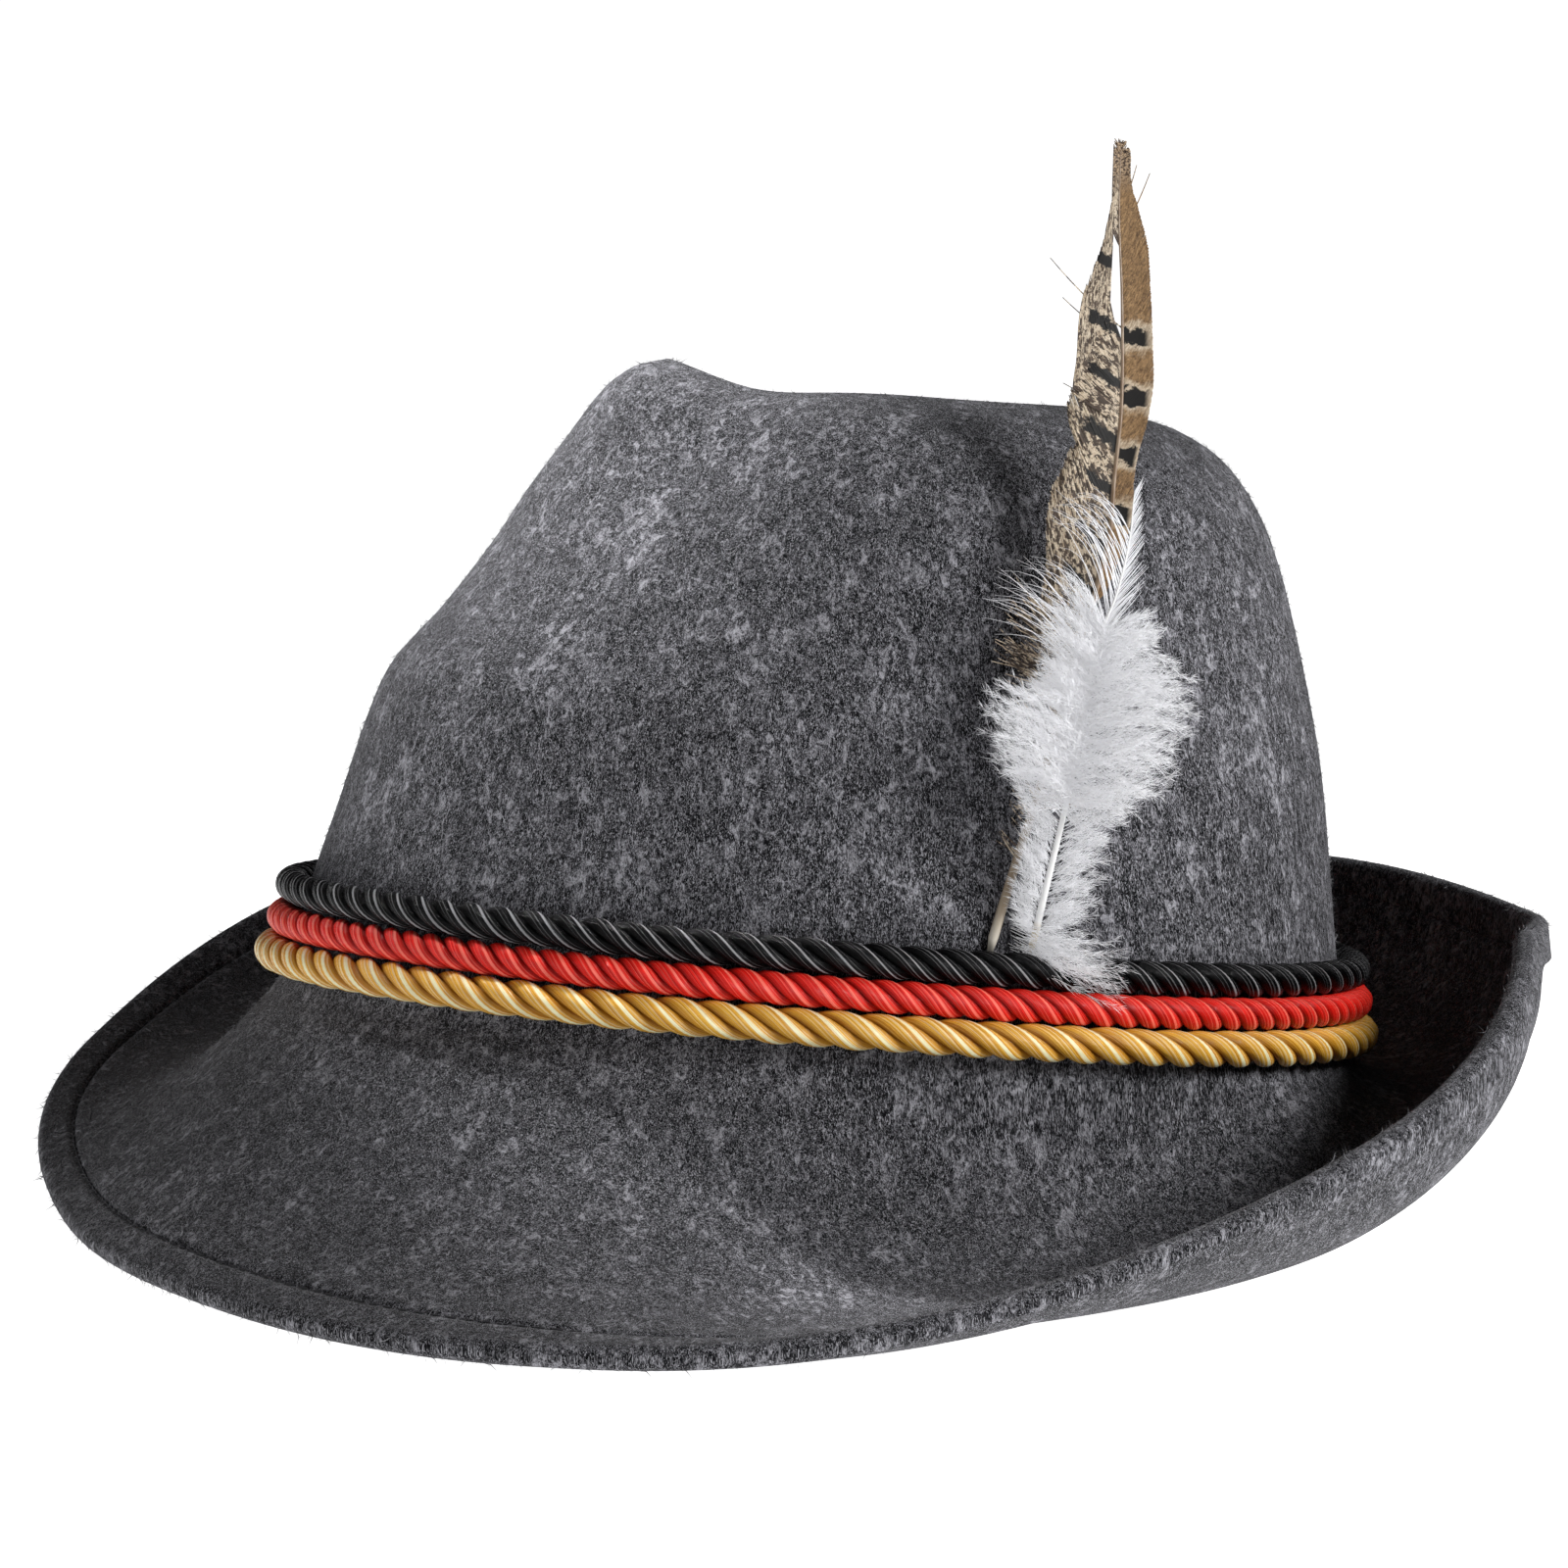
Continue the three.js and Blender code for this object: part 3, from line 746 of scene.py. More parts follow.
def makeSatinMaterial(name, look):
    material, tree, shader = newMaterial(name, **{"Specular IOR Level": look["gloss"]})
    uv = uvOf(tree)
    lines = noiseAt(tree, stretched(tree, uv, (9, 200, 1), (0, 0, 0.02)), 1.0, 3, 0.6)
    wide = noiseAt(tree, stretched(tree, uv, (5, 48, 1), (0, 0, 0.05)), 1.0, 2, 0.5)
    both = maths(tree, "ADD", times(tree, lines, 0.65), times(tree, wide, 0.35))
    colour = blend(tree, between(tree, both, 0.42, 0.58), look["dark"], look["light"])
    around = axisOf(tree, uv, "Y")
    # Painted shade: each strand darkens towards its sides, where it meets the other strands
    colour = blend(tree, between(tree, apart(tree, around, 0.5), 0.14, 0.3), colour, look["paintedValleyShade"])
    wander = between(tree, wide, 0.3, 0.7, -0.012, 0.012)
    # Painted highlights: bright lines along each strand, standing in for the satin's gloss
    for middle, half, strength in paintedStrandHighlights:
        half *= look["paintedHighlightWidth"]
        off = apart(tree, maths(tree, "ADD", around, wander), middle)
        line = times(tree, between(tree, off, half, half * 0.5), between(tree, lines, 0.28, 0.46))
        colour = blend(tree, times(tree, line, strength), colour, look["paintedCrestHighlight"])
    paint(tree, shader, colour)
    tree.links.new(between(tree, lines, 0.35, 0.65, 0.14, 0.3), shader.inputs["Roughness"])
    addBump(tree, shader, both, 0.0003, 0.6)
    return material


def makeCord(node):
    cord = cordRows[node]
    look = cordLooks[node]
    fine = np.linspace(0, 360, strand["fineSteps"])
    path = cordCentre(fine, cord["height"], cord["thickness"])
    arc = np.concatenate([[0], np.cumsum(np.linalg.norm(np.diff(path, axis=0), axis=1))])
    turns = round(arc[-1] / cord["lead"])
    steps = turns * strand["stepsPerLead"]
    at = np.arange(steps) / steps * arc[-1]
    angle = np.interp(at, arc, fine)
    centre, along, out, up = cordFrames(angle, cord["height"], cord["thickness"])
    radius = cord["thickness"] / 2 * strand["share"]
    orbit = cord["thickness"] / 2 * strand["orbit"]
    sides = strand["sides"]
    allPoints, allFaces, allUvs = [], [], []
    for k in range(3):
        lay = cord["phase"] + k * 2 * math.pi / 3 - 2 * math.pi * turns * np.arange(steps) / steps
        offset = out * np.cos(lay)[:, None] + up * np.sin(lay)[:, None]
        middle = centre + offset * orbit
        ahead = unit(np.roll(middle, -1, 0) - np.roll(middle, 1, 0))
        side = unit(np.cross(offset, ahead))
        face = np.cross(ahead, side)
        start = sum(len(p) for p in allPoints)
        turn = 2 * math.pi * np.arange(sides + 1) / sides
        ring = side[:, None] * np.sin(turn)[:, None] * strand["oval"]
        ring = ring - face[:, None] * np.cos(turn)[:, None]
        wave = 2 * math.pi * np.arange(steps) / steps
        swell = 1 + strand["waver"] / 2 * sum(np.sin(n * wave + shift * k) for n, shift in strand["waves"])
        points = (middle[:, None] + ring * (radius * swell)[:, None, None]).reshape(-1, 3)
        points = np.concatenate([points, points[:sides + 1]])
        index = start + np.arange((steps + 1) * (sides + 1)).reshape(steps + 1, sides + 1)
        a, b = index[:-1, :-1], index[:-1, 1:]
        c, d = index[1:, 1:], index[1:, :-1]
        allFaces += np.stack([a, b, c, d], -1).reshape(-1, 4).tolist()
        u = np.repeat(np.arange(steps + 1) / steps * arc[-1] * strand["uvPerMetre"], sides + 1)
        v = np.tile(np.arange(sides + 1) / sides, steps + 1)
        allPoints.append(points)
        allUvs.append(np.stack([u, v], 1))
    points = toWorld(np.concatenate(allPoints))
    name = node.replace("_cord", "Cord")
    satin = makeSatinMaterial(name + "Satin", look)
    piece = makeObject(name, points, allFaces, satin, np.concatenate(allUvs))
    weldSeams(piece)
    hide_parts(node)
    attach(piece, "root")


def weldSeams(piece):
    work = bmesh.new()
    work.from_mesh(piece.data)
    bmesh.ops.remove_doubles(work, verts=work.verts, dist=1e-7)
    bmesh.ops.recalc_face_normals(work, faces=work.faces)
    work.to_mesh(piece.data)
    work.free()


for cordName in cordRows:
    makeCord(cordName)
print("cords made")


# Feathers: the line of each quill as share of length, place towards the back, place outwards

featherSide = unit(np.array([0.17, 0.985, 0.0]))
feathers = {
    "pheasant_feather": {
        "angle": 96.5, "length": 0.146, "quill": 0.0019, "clear": 0.0,
        "line": [(0, -0.017, 0), (0.08, 0.002, -0.012), (0.2, 0.031, -0.03), (0.5, 0.0985, -0.085),
                 (0.58, 0.1025, -0.1), (0.67, 0.107, -0.117), (0.8, 0.1, -0.138), (0.9, 0.09, -0.152),
                 (1, 0.085, -0.163)],
    },
    "white_feather": {
        "angle": 101.5, "length": 0.092, "quill": 0.0015, "clear": 0.0007,
        "line": [(0, -0.039, 0.004), (0.05, -0.037, 0.02), (0.14, -0.033, 0.045), (0.3, -0.011, 0.042),
                 (0.44, 0.008, 0.022), (0.54, 0.021, 0.004), (0.64, 0.043, -0.018), (0.7, 0.063, -0.028),
                 (0.8, 0.084, -0.054), (0.9, 0.0915, -0.078), (1, 0.1, -0.1)],
    },
}
footHeight = black["height"] + black["thickness"] / 2 + 0.0012
footGap = 0.0006


def featherFoot(feather):
    angle = np.array([feather["angle"]])
    turn = math.radians(feather["angle"])
    out = np.array([math.sin(turn), -math.cos(turn), 0])
    off = (feather["quill"] + feather["clear"]) / 2 + footGap
    return wallPoint(angle, footHeight / hat["crownHeight"])[0] + out * off


def featherPoint(feather, share):
    share = np.asarray(share, float)
    length = feather["length"]
    along = fromRows(feather["line"], 1, share) * length
    off = fromRows(feather["line"], 2, share) * length
    lift = np.stack([off, 0 * off, share * length], -1)
    return featherFoot(feather) + featherSide * along[..., None] + lift


def featherFrame(feather, share):
    share = np.asarray(share, float)
    middle = featherPoint(feather, share)
    along = unit(featherPoint(feather, share + 0.01) - featherPoint(feather, share - 0.01))
    side = unit(featherSide - along * (along @ featherSide)[..., None])
    return middle, along, side, np.cross(side, along)


def slimTube(centre, widths, thicks, sideWays, faceWays, sides):
    # Closed tube of flat oval sections, one row of points for each step
    turn = 2 * math.pi * np.arange(sides) / sides
    ring = sideWays[:, None] * np.cos(turn)[:, None] * widths[:, None, None]
    ring = ring + faceWays[:, None] * np.sin(turn)[:, None] * thicks[:, None, None]
    points = (centre[:, None] + ring).reshape(-1, 3)
    steps = len(centre)
    faces = []
    for r in range(steps - 1):
        for k in range(sides):
            j = (k + 1) % sides
            faces.append((r * sides + k, r * sides + j, (r + 1) * sides + j, (r + 1) * sides + k))
    faces.append(tuple(range(sides))[::-1])
    faces.append(tuple((steps - 1) * sides + k for k in range(sides)))
    return points, faces


class Bundle:
    # Gathers many small closed shapes into one mesh, each point with a place on its feather
    def __init__(self):
        self.points, self.faces, self.uvs, self.marks, self.count = [], [], [], {}, 0

    def add(self, points, faces, uv, **marks):
        self.faces += [tuple(self.count + i for i in face) for face in faces]
        self.points.append(points)
        self.uvs.append(np.broadcast_to(uv, (len(points), 2)))
        for key, value in marks.items():
            self.marks.setdefault(key, []).append(np.broadcast_to(value, (len(points),)))
        self.count += len(points)

    def build(self, name, material):
        points = toWorld(np.concatenate(self.points))
        marks = {key: np.concatenate(values) for key, values in self.marks.items()}
        return makeObject(name, points, self.faces, material, np.concatenate(self.uvs), marks)


quillCut = {"steps": 60, "sides": 12, "foot": 0.55, "tip": 0.3, "taper": 0.8}


def makeQuill(name, node, material, shares, tipShare):
    feather = feathers[node]
    steps, sides = quillCut["steps"], quillCut["sides"]
    share = np.linspace(*shares, steps)
    middle, along, side, face = featherFrame(feather, share)
    radius = feather["quill"] / 2 * mix(1.0, tipShare, np.linspace(0, 1, steps) ** quillCut["taper"])
    radius[0] *= quillCut["foot"]
    radius[-1] *= quillCut["tip"]
    points, faces = slimTube(middle, radius, radius, side, face, sides)
    uv = np.repeat(np.stack([share, np.zeros(steps)], 1), sides, 0)
    piece = makeObject(name, toWorld(points), faces, material, uv)
    weldSeams(piece)
    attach(piece, "root")


pheasant = {
    # height as a share of the length, then the outline's reach in front and behind
    "outline": [(0.3, 0.03, 0.006), (0.4, 0.062, 0.01), (0.455, 0.069, 0.014), (0.5, 0.082, 0.02),
                (0.545, 0.087, 0.022), (0.58, 0.078, 0.024), (0.62, 0.063, 0.029), (0.67, 0.064, 0.034),
                (0.72, 0.057, 0.036), (0.78, 0.053, 0.036), (0.82, 0.044, 0.035), (0.87, 0.029, 0.033),
                (0.92, 0.016, 0.023), (0.95, 0.012, 0.014), (0.98, 0.012, 0.0125), (0.993, 0.009, 0.009),
                (1.0, 0.003, 0.003)],
    "roots": (0.27, 0.992),
    "barbs": 330,
    "sweptBarbs": 120,  # swept up beside the hole as a narrow band
    "segments": 7,
    "sweptSegments": 11,
    # half widths and half thicknesses of the barbs
    "barb": (0.0002, 0.00008),
    "sweptBarb": (0.00021, 0.00008),
    "tuftBarb": (0.00017, 0.00008),
    "strayBarb": (0.00016, 0.0001),
    "sweptShares": (0.34, 1.0),  # where the band lies in the outline's reach
    "sweptRoots": 0.64,
    "sweptTips": (0.8, 0.965),
    "steepFront": 1.75,
    "steepTip": 2.4,
    "steepBack": 1.9,
    "tipReach": 0.009,
    "frontEnd": 0.645,
    "backStart": 0.42,
    "top": 1.002,
    "hole": (0.735, 0.865),  # roots of the lost barbs in front
    "barHalf": 0.0105,
    "frontBars": [0.432, 0.49, 0.561, 0.62, 0.693, 0.757, 0.838],
    "frontBarReach": 0.046,
    "backBars": [0.537, 0.61, 0.682, 0.755],
    "frontSlope": 0.62,
    # side, from share, to share, reach, barbs, how far the tips rise
    "tufts": [(-1, 0.3, 0.37, 0.1, 70, 0.25), (1, 0.17, 0.2, 0.05, 14, 0.05),
              (-1, 0.1, 0.19, 0.03, 18, 0.5), (-1, 0.24, 0.3, 0.06, 14, 0.6),
              (-1, 0.972, 0.99, 0.008, 18, 1.0), (1, 0.972, 0.99, 0.008, 18, 1.0)],
    # side, root share, reach, rise: single barbs that stand away
    "strays": [(-1, 0.765, 0.09, 0.95), (-1, 0.745, 0.075, 0.75), (-1, 0.665, 0.075, 0.35),
               (1, 0.875, 0.04, 2.0), (1, 0.9, 0.022, 3.0), (1, 0.49, 0.035, 0.5)],
}


def addTaperedBarb(bundle, path, face, widths, height, out, root, dice):
    q = np.linspace(0, 1, len(path))
    face = np.broadcast_to(face, path.shape)
    sideWays = unit(np.cross(unit(np.gradient(path, axis=0)), face))
    taper = np.sqrt(np.clip(1 - q * 0.8, 0.02, 1))
    points, faces = slimTube(path, widths[0] * taper, widths[1] * taper, sideWays, face, 4)
    uv = np.repeat(np.stack([height, out], 1), 4, 0)
    bundle.add(points, faces, uv, root=root, tone=dice.random(), out=np.repeat(q, 4))


def addBarb(bundle, feather, root, side, reach, rise, curl, widths, dice):
    q = np.linspace(0, 1, pheasant["segments"] + 1)
    middle, along, across, face = featherFrame(feather, np.array([root]))
    size = reach * feather["length"]
    lift = rise * (0.8 * q + 0.2 * q * q)
    path = middle + across * side * (size * q)[:, None] + along * (size * lift)[:, None]
    path = path + face * (curl * size * q * q)[:, None]
    addTaperedBarb(bundle, path, face, widths, root + reach * lift, side * reach * q, root, dice)


def addSweptBarb(bundle, feather, root, tip, share, dice):
    q = np.linspace(0, 1, pheasant["sweptSegments"] + 1)
    height = mix(root, tip, q)
    middle, along, across, face = featherFrame(feather, height)
    reach = fromRows(pheasant["outline"], 1, height) * share * smoothStep(q / 0.3)
    out = reach * feather["length"]
    path = middle - across * out[:, None] + face * (0.1 * out)[:, None]
    addTaperedBarb(bundle, path, face, pheasant["sweptBarb"], height, -reach, root - share * 0.1, dice)


def barDistance(tree, height, bars):
    # Distance in height from the nearest dark bar
    nearest = apart(tree, height, bars[0])
    for bar in bars[1:]:
        nearest = maths(tree, "MINIMUM", nearest, apart(tree, height, bar))
    return nearest


plumage = {
    "tan": ((0.13, 0.07, 0.028, 1), (0.4, 0.25, 0.12, 1)),
    "cream": ((0.36, 0.27, 0.18, 1), (0.72, 0.62, 0.48, 1)),
    "brown": ((0.024, 0.014, 0.01, 1), (0.07, 0.042, 0.028, 1)),
    "tip": ((0.05, 0.03, 0.02, 1), (0.42, 0.3, 0.19, 1)),
    "speck": (0.07, 0.04, 0.022, 1),
    "ink": (0.006, 0.005, 0.0045, 1),
}


def makePheasantMaterial():
    material, tree, shader = newMaterial("pheasantVane", **{"Roughness": 0.5, "Specular IOR Level": 0.4})
    uv = uvOf(tree)
    height, across = axisOf(tree, uv, "X"), axisOf(tree, uv, "Y")
    reach = maths(tree, "ABSOLUTE", across)
    half, barReach = pheasant["barHalf"], pheasant["frontBarReach"]
    # Streaks lie along the barbs, specks go across them
    barbPlace = addNode(tree, "ShaderNodeCombineXYZ", {"X": markOf(tree, "root"), "Y": across, "Z": height})
    barbPlace = barbPlace.outputs["Vector"]
    streak = noiseAt(tree, stretched(tree, barbPlace, (120, 60, 95)), 1.0, 2, 0.6, 0.8)
    fine = noiseAt(tree, stretched(tree, barbPlace, (900, 160, 100)), 1.0, 3, 0.65)
    grain = noiseAt(tree, stretched(tree, uv, (420, 300, 1)), 1.0, 3, 0.7, 0.6)
    slow = noiseAt(tree, stretched(tree, uv, (90, 70, 1)), 1.0, 2, 0.5)
    wobble = maths(tree, "ADD", between(tree, grain, 0.3, 0.7, -0.002, 0.002),
                   between(tree, slow, 0.3, 0.7, -0.005, 0.005))
    shown = between(tree, fine, 0.35, 0.65)
    tan = blend(tree, shown, *plumage["tan"])
    cream = blend(tree, shown, *plumage["cream"])
    # In front: blotched brown on cream, with sloping bars that end before the edge
    blotch = maths(tree, "ADD", between(tree, streak, 0.48, 0.53), between(tree, grain, 0.56, 0.64, 0, 0.5))
    brown = blend(tree, markOf(tree, "tone"), *plumage["brown"])
    front = blend(tree, times(tree, blotch, 0.95), cream, brown)
    sloped = maths(tree, "SUBTRACT", height, times(tree, reach, pheasant["frontSlope"]))
    frontOff = barDistance(tree, maths(tree, "ADD", sloped, wobble), pheasant["frontBars"])
    barEnd = between(tree, maths(tree, "SUBTRACT", reach, wobble), barReach, barReach - 0.005)
    frontBar = times(tree, between(tree, frontOff, half * 0.85, half * 0.6), barEnd)
    front = blend(tree, frontBar, front, plumage["ink"])
    # Behind: specked tan, with level bars between cream margins
    backOff = barDistance(tree, maths(tree, "ADD", height, wobble), pheasant["backBars"])
    speck = maths(tree, "ADD", between(tree, grain, 0.53, 0.64, 0, 0.5),
                  between(tree, streak, 0.56, 0.62, 0, 0.45))
    back = blend(tree, speck, tan, plumage["speck"])
    back = blend(tree, between(tree, backOff, half * 2.1, half * 1.3, 0, 0.85), back, cream)
    backBar = times(tree, between(tree, backOff, half * 1.1, half * 0.9),
                    between(tree, markOf(tree, "out"), 0.95, 0.75))
    back = blend(tree, backBar, back, plumage["ink"])
    colour = blend(tree, between(tree, across, 0.0006, -0.0006), back, front)
    tipColour = blend(tree, between(tree, grain, 0.46, 0.53), *plumage["tip"])
    paint(tree, shader, blend(tree, between(tree, height, 0.93, 0.96), colour, tipColour))
    return material


def makePheasantQuillMaterial():
    material, tree, shader = newMaterial("pheasantQuill", **{"Roughness": 0.3})
    uv = uvOf(tree)
    share = axisOf(tree, uv, "X")
    streak = noiseAt(tree, stretched(tree, uv, (30, 4, 1)), 1.0, 2)
    colour = blend(tree, between(tree, share, 0.0, 0.05), (0.62, 0.58, 0.5, 1), (0.24, 0.18, 0.12, 1))
    colour = blend(tree, between(tree, share, 0.3, 0.5), colour, (0.2, 0.13, 0.08, 1))
    paint(tree, shader, blend(tree, between(tree, streak, 0.4, 0.6, 0, 0.25), colour, (0.5, 0.42, 0.32, 1)))
    return material


def reachFrom(root, column, steep, guess):
    # The reach at which a barb of this steepness meets the outline
    for _ in range(5):
        guess = float(fromRows(pheasant["outline"], column, min(1, root + steep * guess)))
    return guess


def steepUpTo(steep, root, reach):
    # Barbs near the tip rise less, so that they stay under the quill's end
    return min(steep, (pheasant["top"] - 0.6 * reach - root) / reach)


def addFrontBarb(bundle, feather, root, dice):
    if root < pheasant["frontEnd"]:
        steep = pheasant["steepFront"]
        reach = reachFrom(root, 1, steep, 0.06) * dice.uniform(0.97, 1.01)
    else:
        steep = pheasant["steepTip"]
        reach = min(reachFrom(root, 1, steep, 0.01), pheasant["tipReach"])
    steep = steepUpTo(steep, root, reach)
    curl = 0.1 + dice.uniform(-0.02, 0.02)
    addBarb(bundle, feather, root, -1, reach, steep, curl, pheasant["barb"], dice)


def addVane(bundle, feather, dice):
    low, high = pheasant["hole"]
    for i in range(pheasant["barbs"]):
        root = mix(*pheasant["roots"], (i + 0.5) / pheasant["barbs"])
        if root < pheasant["frontEnd"] or root > high:
            addFrontBarb(bundle, feather, root, dice)
        if root > pheasant["backStart"]:
            reach = reachFrom(root, 2, pheasant["steepBack"], 0.03)
            steep = steepUpTo(pheasant["steepBack"] * dice.uniform(0.99, 1.01), root, reach)
            reach *= dice.uniform(0.98, 1.005)
            addBarb(bundle, feather, root, 1, reach, steep, 0.08, pheasant["barb"], dice)
    inner, outer = pheasant["sweptShares"]
    for i in range(pheasant["sweptBarbs"]):
        share = (i + 0.5) / pheasant["sweptBarbs"]
        root = mix(pheasant["sweptRoots"], low, share)
        tip = mix(*pheasant["sweptTips"], share) + dice.uniform(-0.012, 0.012)
        addSweptBarb(bundle, feather, root, tip, mix(outer, inner, share) + dice.uniform(-0.03, 0.03), dice)


def addTufts(bundle, feather, dice):
    for side, low, high, reach, count, rise in pheasant["tufts"]:
        for i in range(count):
            root = dice.uniform(low, high)
            long = reach * dice.uniform(0.6, 1.05)
            swing = rise + dice.uniform(-0.35, 0.35)
            curl = dice.uniform(-0.1, 0.3)
            addBarb(bundle, feather, root, side, long, swing, curl, pheasant["tuftBarb"], dice)
    for side, root, reach, rise in pheasant["strays"]:
        addBarb(bundle, feather, root, side, reach, rise, 0.1, pheasant["strayBarb"], dice)


def makePheasant():
    dice = random.Random(5)
    feather = feathers["pheasant_feather"]
    bundle = Bundle()
    addVane(bundle, feather, dice)
    addTufts(bundle, feather, dice)
    vane = bundle.build("pheasantVane", makePheasantMaterial())
    weldSeams(vane)
    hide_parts("pheasant_feather")
    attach(vane, "root")
    quill = makePheasantQuillMaterial()
    makeQuill("pheasantQuill", "pheasant_feather", quill, (-0.006, 0.998), 0.12)
    print("pheasant faces", len(vane.data.polygons))


white = {
    # height as a share of the length, then the outline's reach in front and behind
    "outline": [(0, 0.03, 0.1), (0.1, 0.06, 0.1), (0.2, 0.07, 0.1), (0.27, 0.08, 0.1), (0.33, 0.145, 0.165),
                (0.37, 0.18, 0.187), (0.42, 0.205, 0.198), (0.47, 0.185, 0.2), (0.51, 0.12, 0.197),
                (0.55, 0.1, 0.185), (0.6, 0.11, 0.15), (0.64, 0.11, 0.12), (0.7, 0.1, 0.065),
                (0.75, 0.09, 0.038), (0.9, 0.05, 0.016)],
    # the same for the long bare strands in front
    "combOutline": [(0.5, 0.15, 0), (0.6, 0.225, 0), (0.67, 0.24, 0), (0.71, 0.19, 0), (0.76, 0.165, 0),
                    (0.82, 0.18, 0), (0.9, 0.07, 0)],
    # side, roots from and to, barbs, rise from and to, fall as a share of rise, bow from and to, barbules
    "zones": [
        (-1, 0.02, 0.3, 80, 0.2, 1.3, 0, -0.1, 0.15, 36),
        (1, 0.02, 0.27, 80, 0.0, 1.3, 0, -0.1, 0.15, 36),
        (-1, 0.28, 0.62, 190, -0.15, 1.2, 0, 0.1, 0.8, 70),
        (1, 0.27, 0.62, 190, -0.35, 1.1, 0, 0.1, 0.8, 70),
        (1, 0.6, 0.9, 90, 2.0, 2.6, 0, 0.0, 0.05, 0),
        (-1, 0.5, 0.62, 34, 0.75, 1.25, 0.42, 0.1, 0.3, 0),
        (-1, 0.62, 0.82, 38, 1.3, 1.9, 0.5, 0.1, 0.3, 0),
        (1, -0.03, 0.05, 60, -0.3, 0.1, 0, 0.1, 0.5, 44),
    ],
    "footZone": 0.06,  # barbs of a zone that ends under this share get their own reach
    "footReach": (0.08, 0.19),
    "outlineEnd": 0.9,
    "dark": (0.72, 0.72, 0.765, 1),
    "light": (0.82, 0.82, 0.845, 1),
    "paintedGlow": 0.19,  # painted glow: emission that stands in for light passing through the fine down
    "segments": 7,
    "barbHalfWidth": 0.00007,
    "strandHalfWidth": 0.00012,
    "barbuleLength": (0.0014, 0.0036),
    "barbuleHalfWidth": 0.000024,
}


def addDownBarb(bundle, feather, root, side, reach, rise, fall, bow, cover, barbules, dice, numbers):
    q = np.linspace(0, 1, white["segments"] + 1)
    steps = len(q)
    middle, along, across, face = featherFrame(feather, np.array([root]))
    size = reach * feather["length"]
    wave = dice.uniform(0, 6.28)
    path = middle + across * side * (size * (q - cover * (1 - q)))[:, None]
    path = path + along * (size * (rise * q - fall * q * q + 0.1 * np.sin(q * 3 + wave) * q))[:, None]
    path = path + face * (size * (bow * np.sin(q * 2.6) + 0.12 * np.sin(q * 4 + wave * 2) * q))[:, None]
    ahead = unit(np.gradient(path, axis=0))
    faceWays = np.broadcast_to(face, path.shape)
    sideWays = unit(np.cross(ahead, faceWays))
    faceWays = np.cross(sideWays, ahead)
    taper = np.clip(1 - q, 0.08, 1) ** 0.6
    half = white["barbHalfWidth"] if barbules else white["strandHalfWidth"]
    points, faces = slimTube(path, half * taper, half * 0.7 * taper, sideWays, faceWays, 3)
    bundle.add(points, faces, np.repeat(np.stack([np.full(steps, root), side * q], 1), 3, 0))
    if not barbules:
        return
    at = numbers.uniform(0.08, 0.98, barbules) * (steps - 1)
    k = at.astype(int)
    foot = path[k] + (path[k + 1] - path[k]) * (at - k)[:, None]
    turn = numbers.choice([-1, 1], barbules) * numbers.uniform(0.12, 0.5, barbules)
    lean = numbers.uniform(-0.3, 0.4, barbules)
    way = unit(ahead[k] + sideWays[k] * turn[:, None] + faceWays[k] * lean[:, None])
    span = numbers.uniform(*white["barbuleLength"], barbules)[:, None] * (1.15 - 0.5 * at / steps)[:, None]
    waist = foot + way * span * 0.5 - ahead[k] * span * 0.07
    wide = unit(np.cross(way, faceWays[k])) * white["barbuleHalfWidth"]
    thick = faceWays[k] * white["barbuleHalfWidth"] * 0.7
    shapes = np.stack([foot, waist + wide, waist - wide + thick, foot + way * span], 1)
    sliver = np.array([(0, 2, 1), (0, 3, 2), (0, 1, 3), (1, 2, 3)])
    faces = (sliver + 4 * np.arange(barbules)[:, None, None]).reshape(-1, 3).tolist()
    bundle.add(shapes.reshape(-1, 3), faces, (root, side))


def makeDownMaterial():
    # Painted glow: the down emits light to stand in for light scattered through it
    material, tree, shader = newMaterial("whiteDown", **{
        "Roughness": 0.7, "Sheen Weight": 0.1,
        "Emission Color": (1, 1, 1, 1), "Emission Strength": white["paintedGlow"]})
    soft = noiseAt(tree, placeOf(tree), 300, 2)
    paint(tree, shader, blend(tree, soft, white["dark"], white["light"]))
    return material


def makeShaftMaterial():
    material, tree, shader = newMaterial("whiteShaft", **{"Roughness": 0.3})
    uv = uvOf(tree)
    streak = noiseAt(tree, stretched(tree, uv, (60, 4, 1)), 1.0, 2)
    bright = blend(tree, streak, (0.86, 0.86, 0.86, 1), (0.97, 0.97, 0.96, 1))
    amber = between(tree, axisOf(tree, uv, "X"), 0.06, 0.03)
    paint(tree, shader, blend(tree, amber, bright, (0.6, 0.5, 0.3, 1)))
    return material


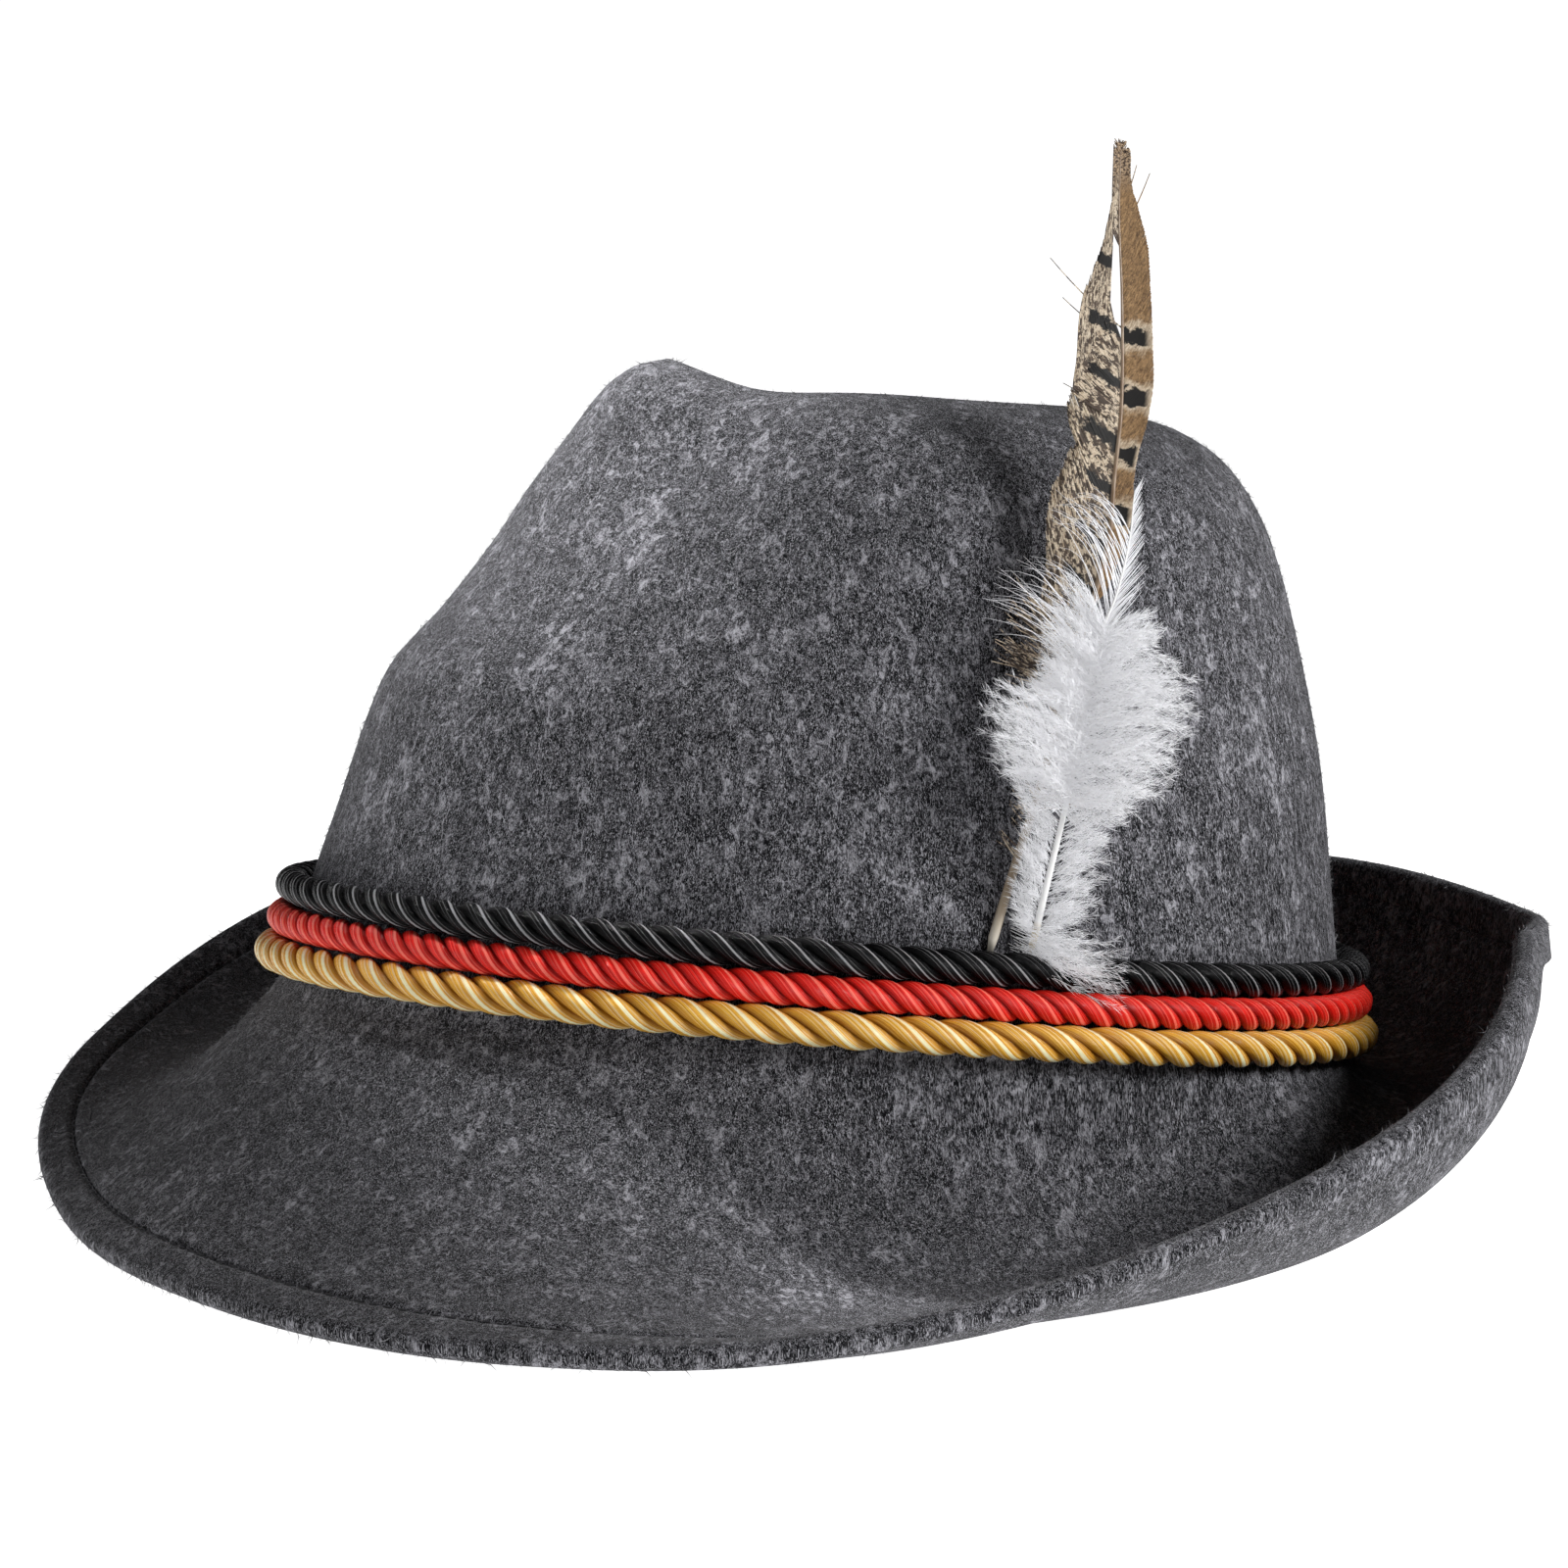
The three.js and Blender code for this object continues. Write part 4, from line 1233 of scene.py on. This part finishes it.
def makeWhite():
    dice = random.Random(11)
    numbers = np.random.default_rng(4)
    feather = feathers["white_feather"]
    bundle = Bundle()
    for side, low, high, count, riseLow, riseHigh, fallShare, bowLow, bowHigh, barbules in white["zones"]:
        column = 1 if side < 0 else 2
        outline = white["combOutline"] if fallShare else white["outline"]
        for i in range(count):
            root = mix(low, high, (i + dice.random()) / count)
            rise = dice.uniform(riseLow, riseHigh)
            reach = 0.1
            fall = fallShare * rise * dice.uniform(0.85, 1.15)
            for _ in range(7):
                height = min(white["outlineEnd"], root + (rise - fall) * reach)
                reach = (reach + float(fromRows(outline, column, height))) / 2
            reach *= dice.uniform(0.75, 1.03) if fallShare else dice.uniform(0.6, 1.05)
            if high < white["footZone"]:
                reach = dice.uniform(*white["footReach"])
            bow = dice.uniform(bowLow, bowHigh)
            cover = dice.uniform(0, 0.35) if barbules > 40 else 0.0
            addDownBarb(bundle, feather, root, side, reach, rise, fall, bow, cover, barbules, dice, numbers)
    down = bundle.build("whiteDown", makeDownMaterial())
    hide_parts("white_feather")
    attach(down, "root")
    makeQuill("whiteQuill", "white_feather", makeShaftMaterial(), (-0.005, 0.9), 0.15)
    print("white down faces", len(down.data.polygons))


makePheasant()
makeWhite()
print("feathers made")


# Camera at the photograph's angle: the hat is seen from its left side, a little from the front

view = {
    "place": (0.7577, -0.1628, 0.2307),
    "azimuth": 78.35,
    "elevation": 11.59,
    "roll": -0.92,
    "focalShare": 4153 / 1600,  # focal length over the frame's width
    "sensorWidth": 36,
}


def makeCamera():
    turn, rise = math.radians(view["azimuth"]), math.radians(view["elevation"])
    back = Vector((math.sin(turn) * math.cos(rise), -math.cos(turn) * math.cos(rise), math.sin(rise)))
    right = Vector((math.cos(turn), math.sin(turn), 0))
    up = back.cross(right)
    tilt = math.radians(view["roll"])
    right, up = right * math.cos(tilt) + up * math.sin(tilt), up * math.cos(tilt) - right * math.sin(tilt)
    data = bpy.data.cameras.new("photoCamera")
    data.sensor_width = view["sensorWidth"]
    data.lens = view["sensorWidth"] * view["focalShare"]
    camera = addObject("photoCamera", data)
    camera.matrix_world = Matrix([*zip(right, up, back, view["place"]), (0, 0, 0, 1)])
    bpy.context.scene.camera = camera


studio = {
    "worldStrength": 0.03,
    "floorColour": (0.75, 0.75, 0.75, 1),
    "floorGlow": 1.05,  # the pale table is bright from below, and lights the hat's lower sides
    "floorHalf": 60,
    # kind, place, aim, settings
    "lamps": {
        "keyLight": ("AREA", (0.75, 1.05, 0.72), (0, 0, 0.08), {"energy": 20, "size": 0.5}),
        "fillLight": ("AREA", (0.35, -1.4, 0.4), (0, 0, 0.08), {"energy": 4.8, "size": 0.7}),
        "crownLight": ("SPOT", (-0.4, -0.25, 0.9), (-0.018, -0.05, 0.165), {
            "energy": 150, "spot_size": math.radians(7.5), "spot_blend": 1, "shadow_soft_size": 0.05}),
    },
}


def addLamp(name, kind, place, aim, settings):
    data = bpy.data.lights.new(name, kind)
    for key, value in settings.items():
        setattr(data, key, value)
    lamp = addObject(name, data)
    lamp.location = place
    lamp.rotation_euler = (Vector(aim) - Vector(place)).to_track_quat("-Z", "Y").to_euler()


def makeStudio():
    bpy.context.scene.view_settings.view_transform = "Standard"
    world = bpy.data.worlds.new("studioWorld")
    bpy.context.scene.world = world
    world.use_nodes = True
    sky = world.node_tree.nodes["Background"]
    sky.inputs["Color"].default_value = (1, 1, 1, 1)
    sky.inputs["Strength"].default_value = studio["worldStrength"]
    for name, row in studio["lamps"].items():
        addLamp(name, *row)
    material = newMaterial("paleFloor", **{
        "Roughness": 0.9, "Base Color": studio["floorColour"],
        "Emission Color": (1, 1, 1, 1), "Emission Strength": studio["floorGlow"]})[0]
    half = studio["floorHalf"]
    corners = [(-half, -half, 0), (half, -half, 0), (half, half, 0), (-half, half, 0)]
    floor = makeObject("studioFloor", corners, [(0, 1, 2, 3)], material)


makeCamera()
makeStudio()
print("studio made")
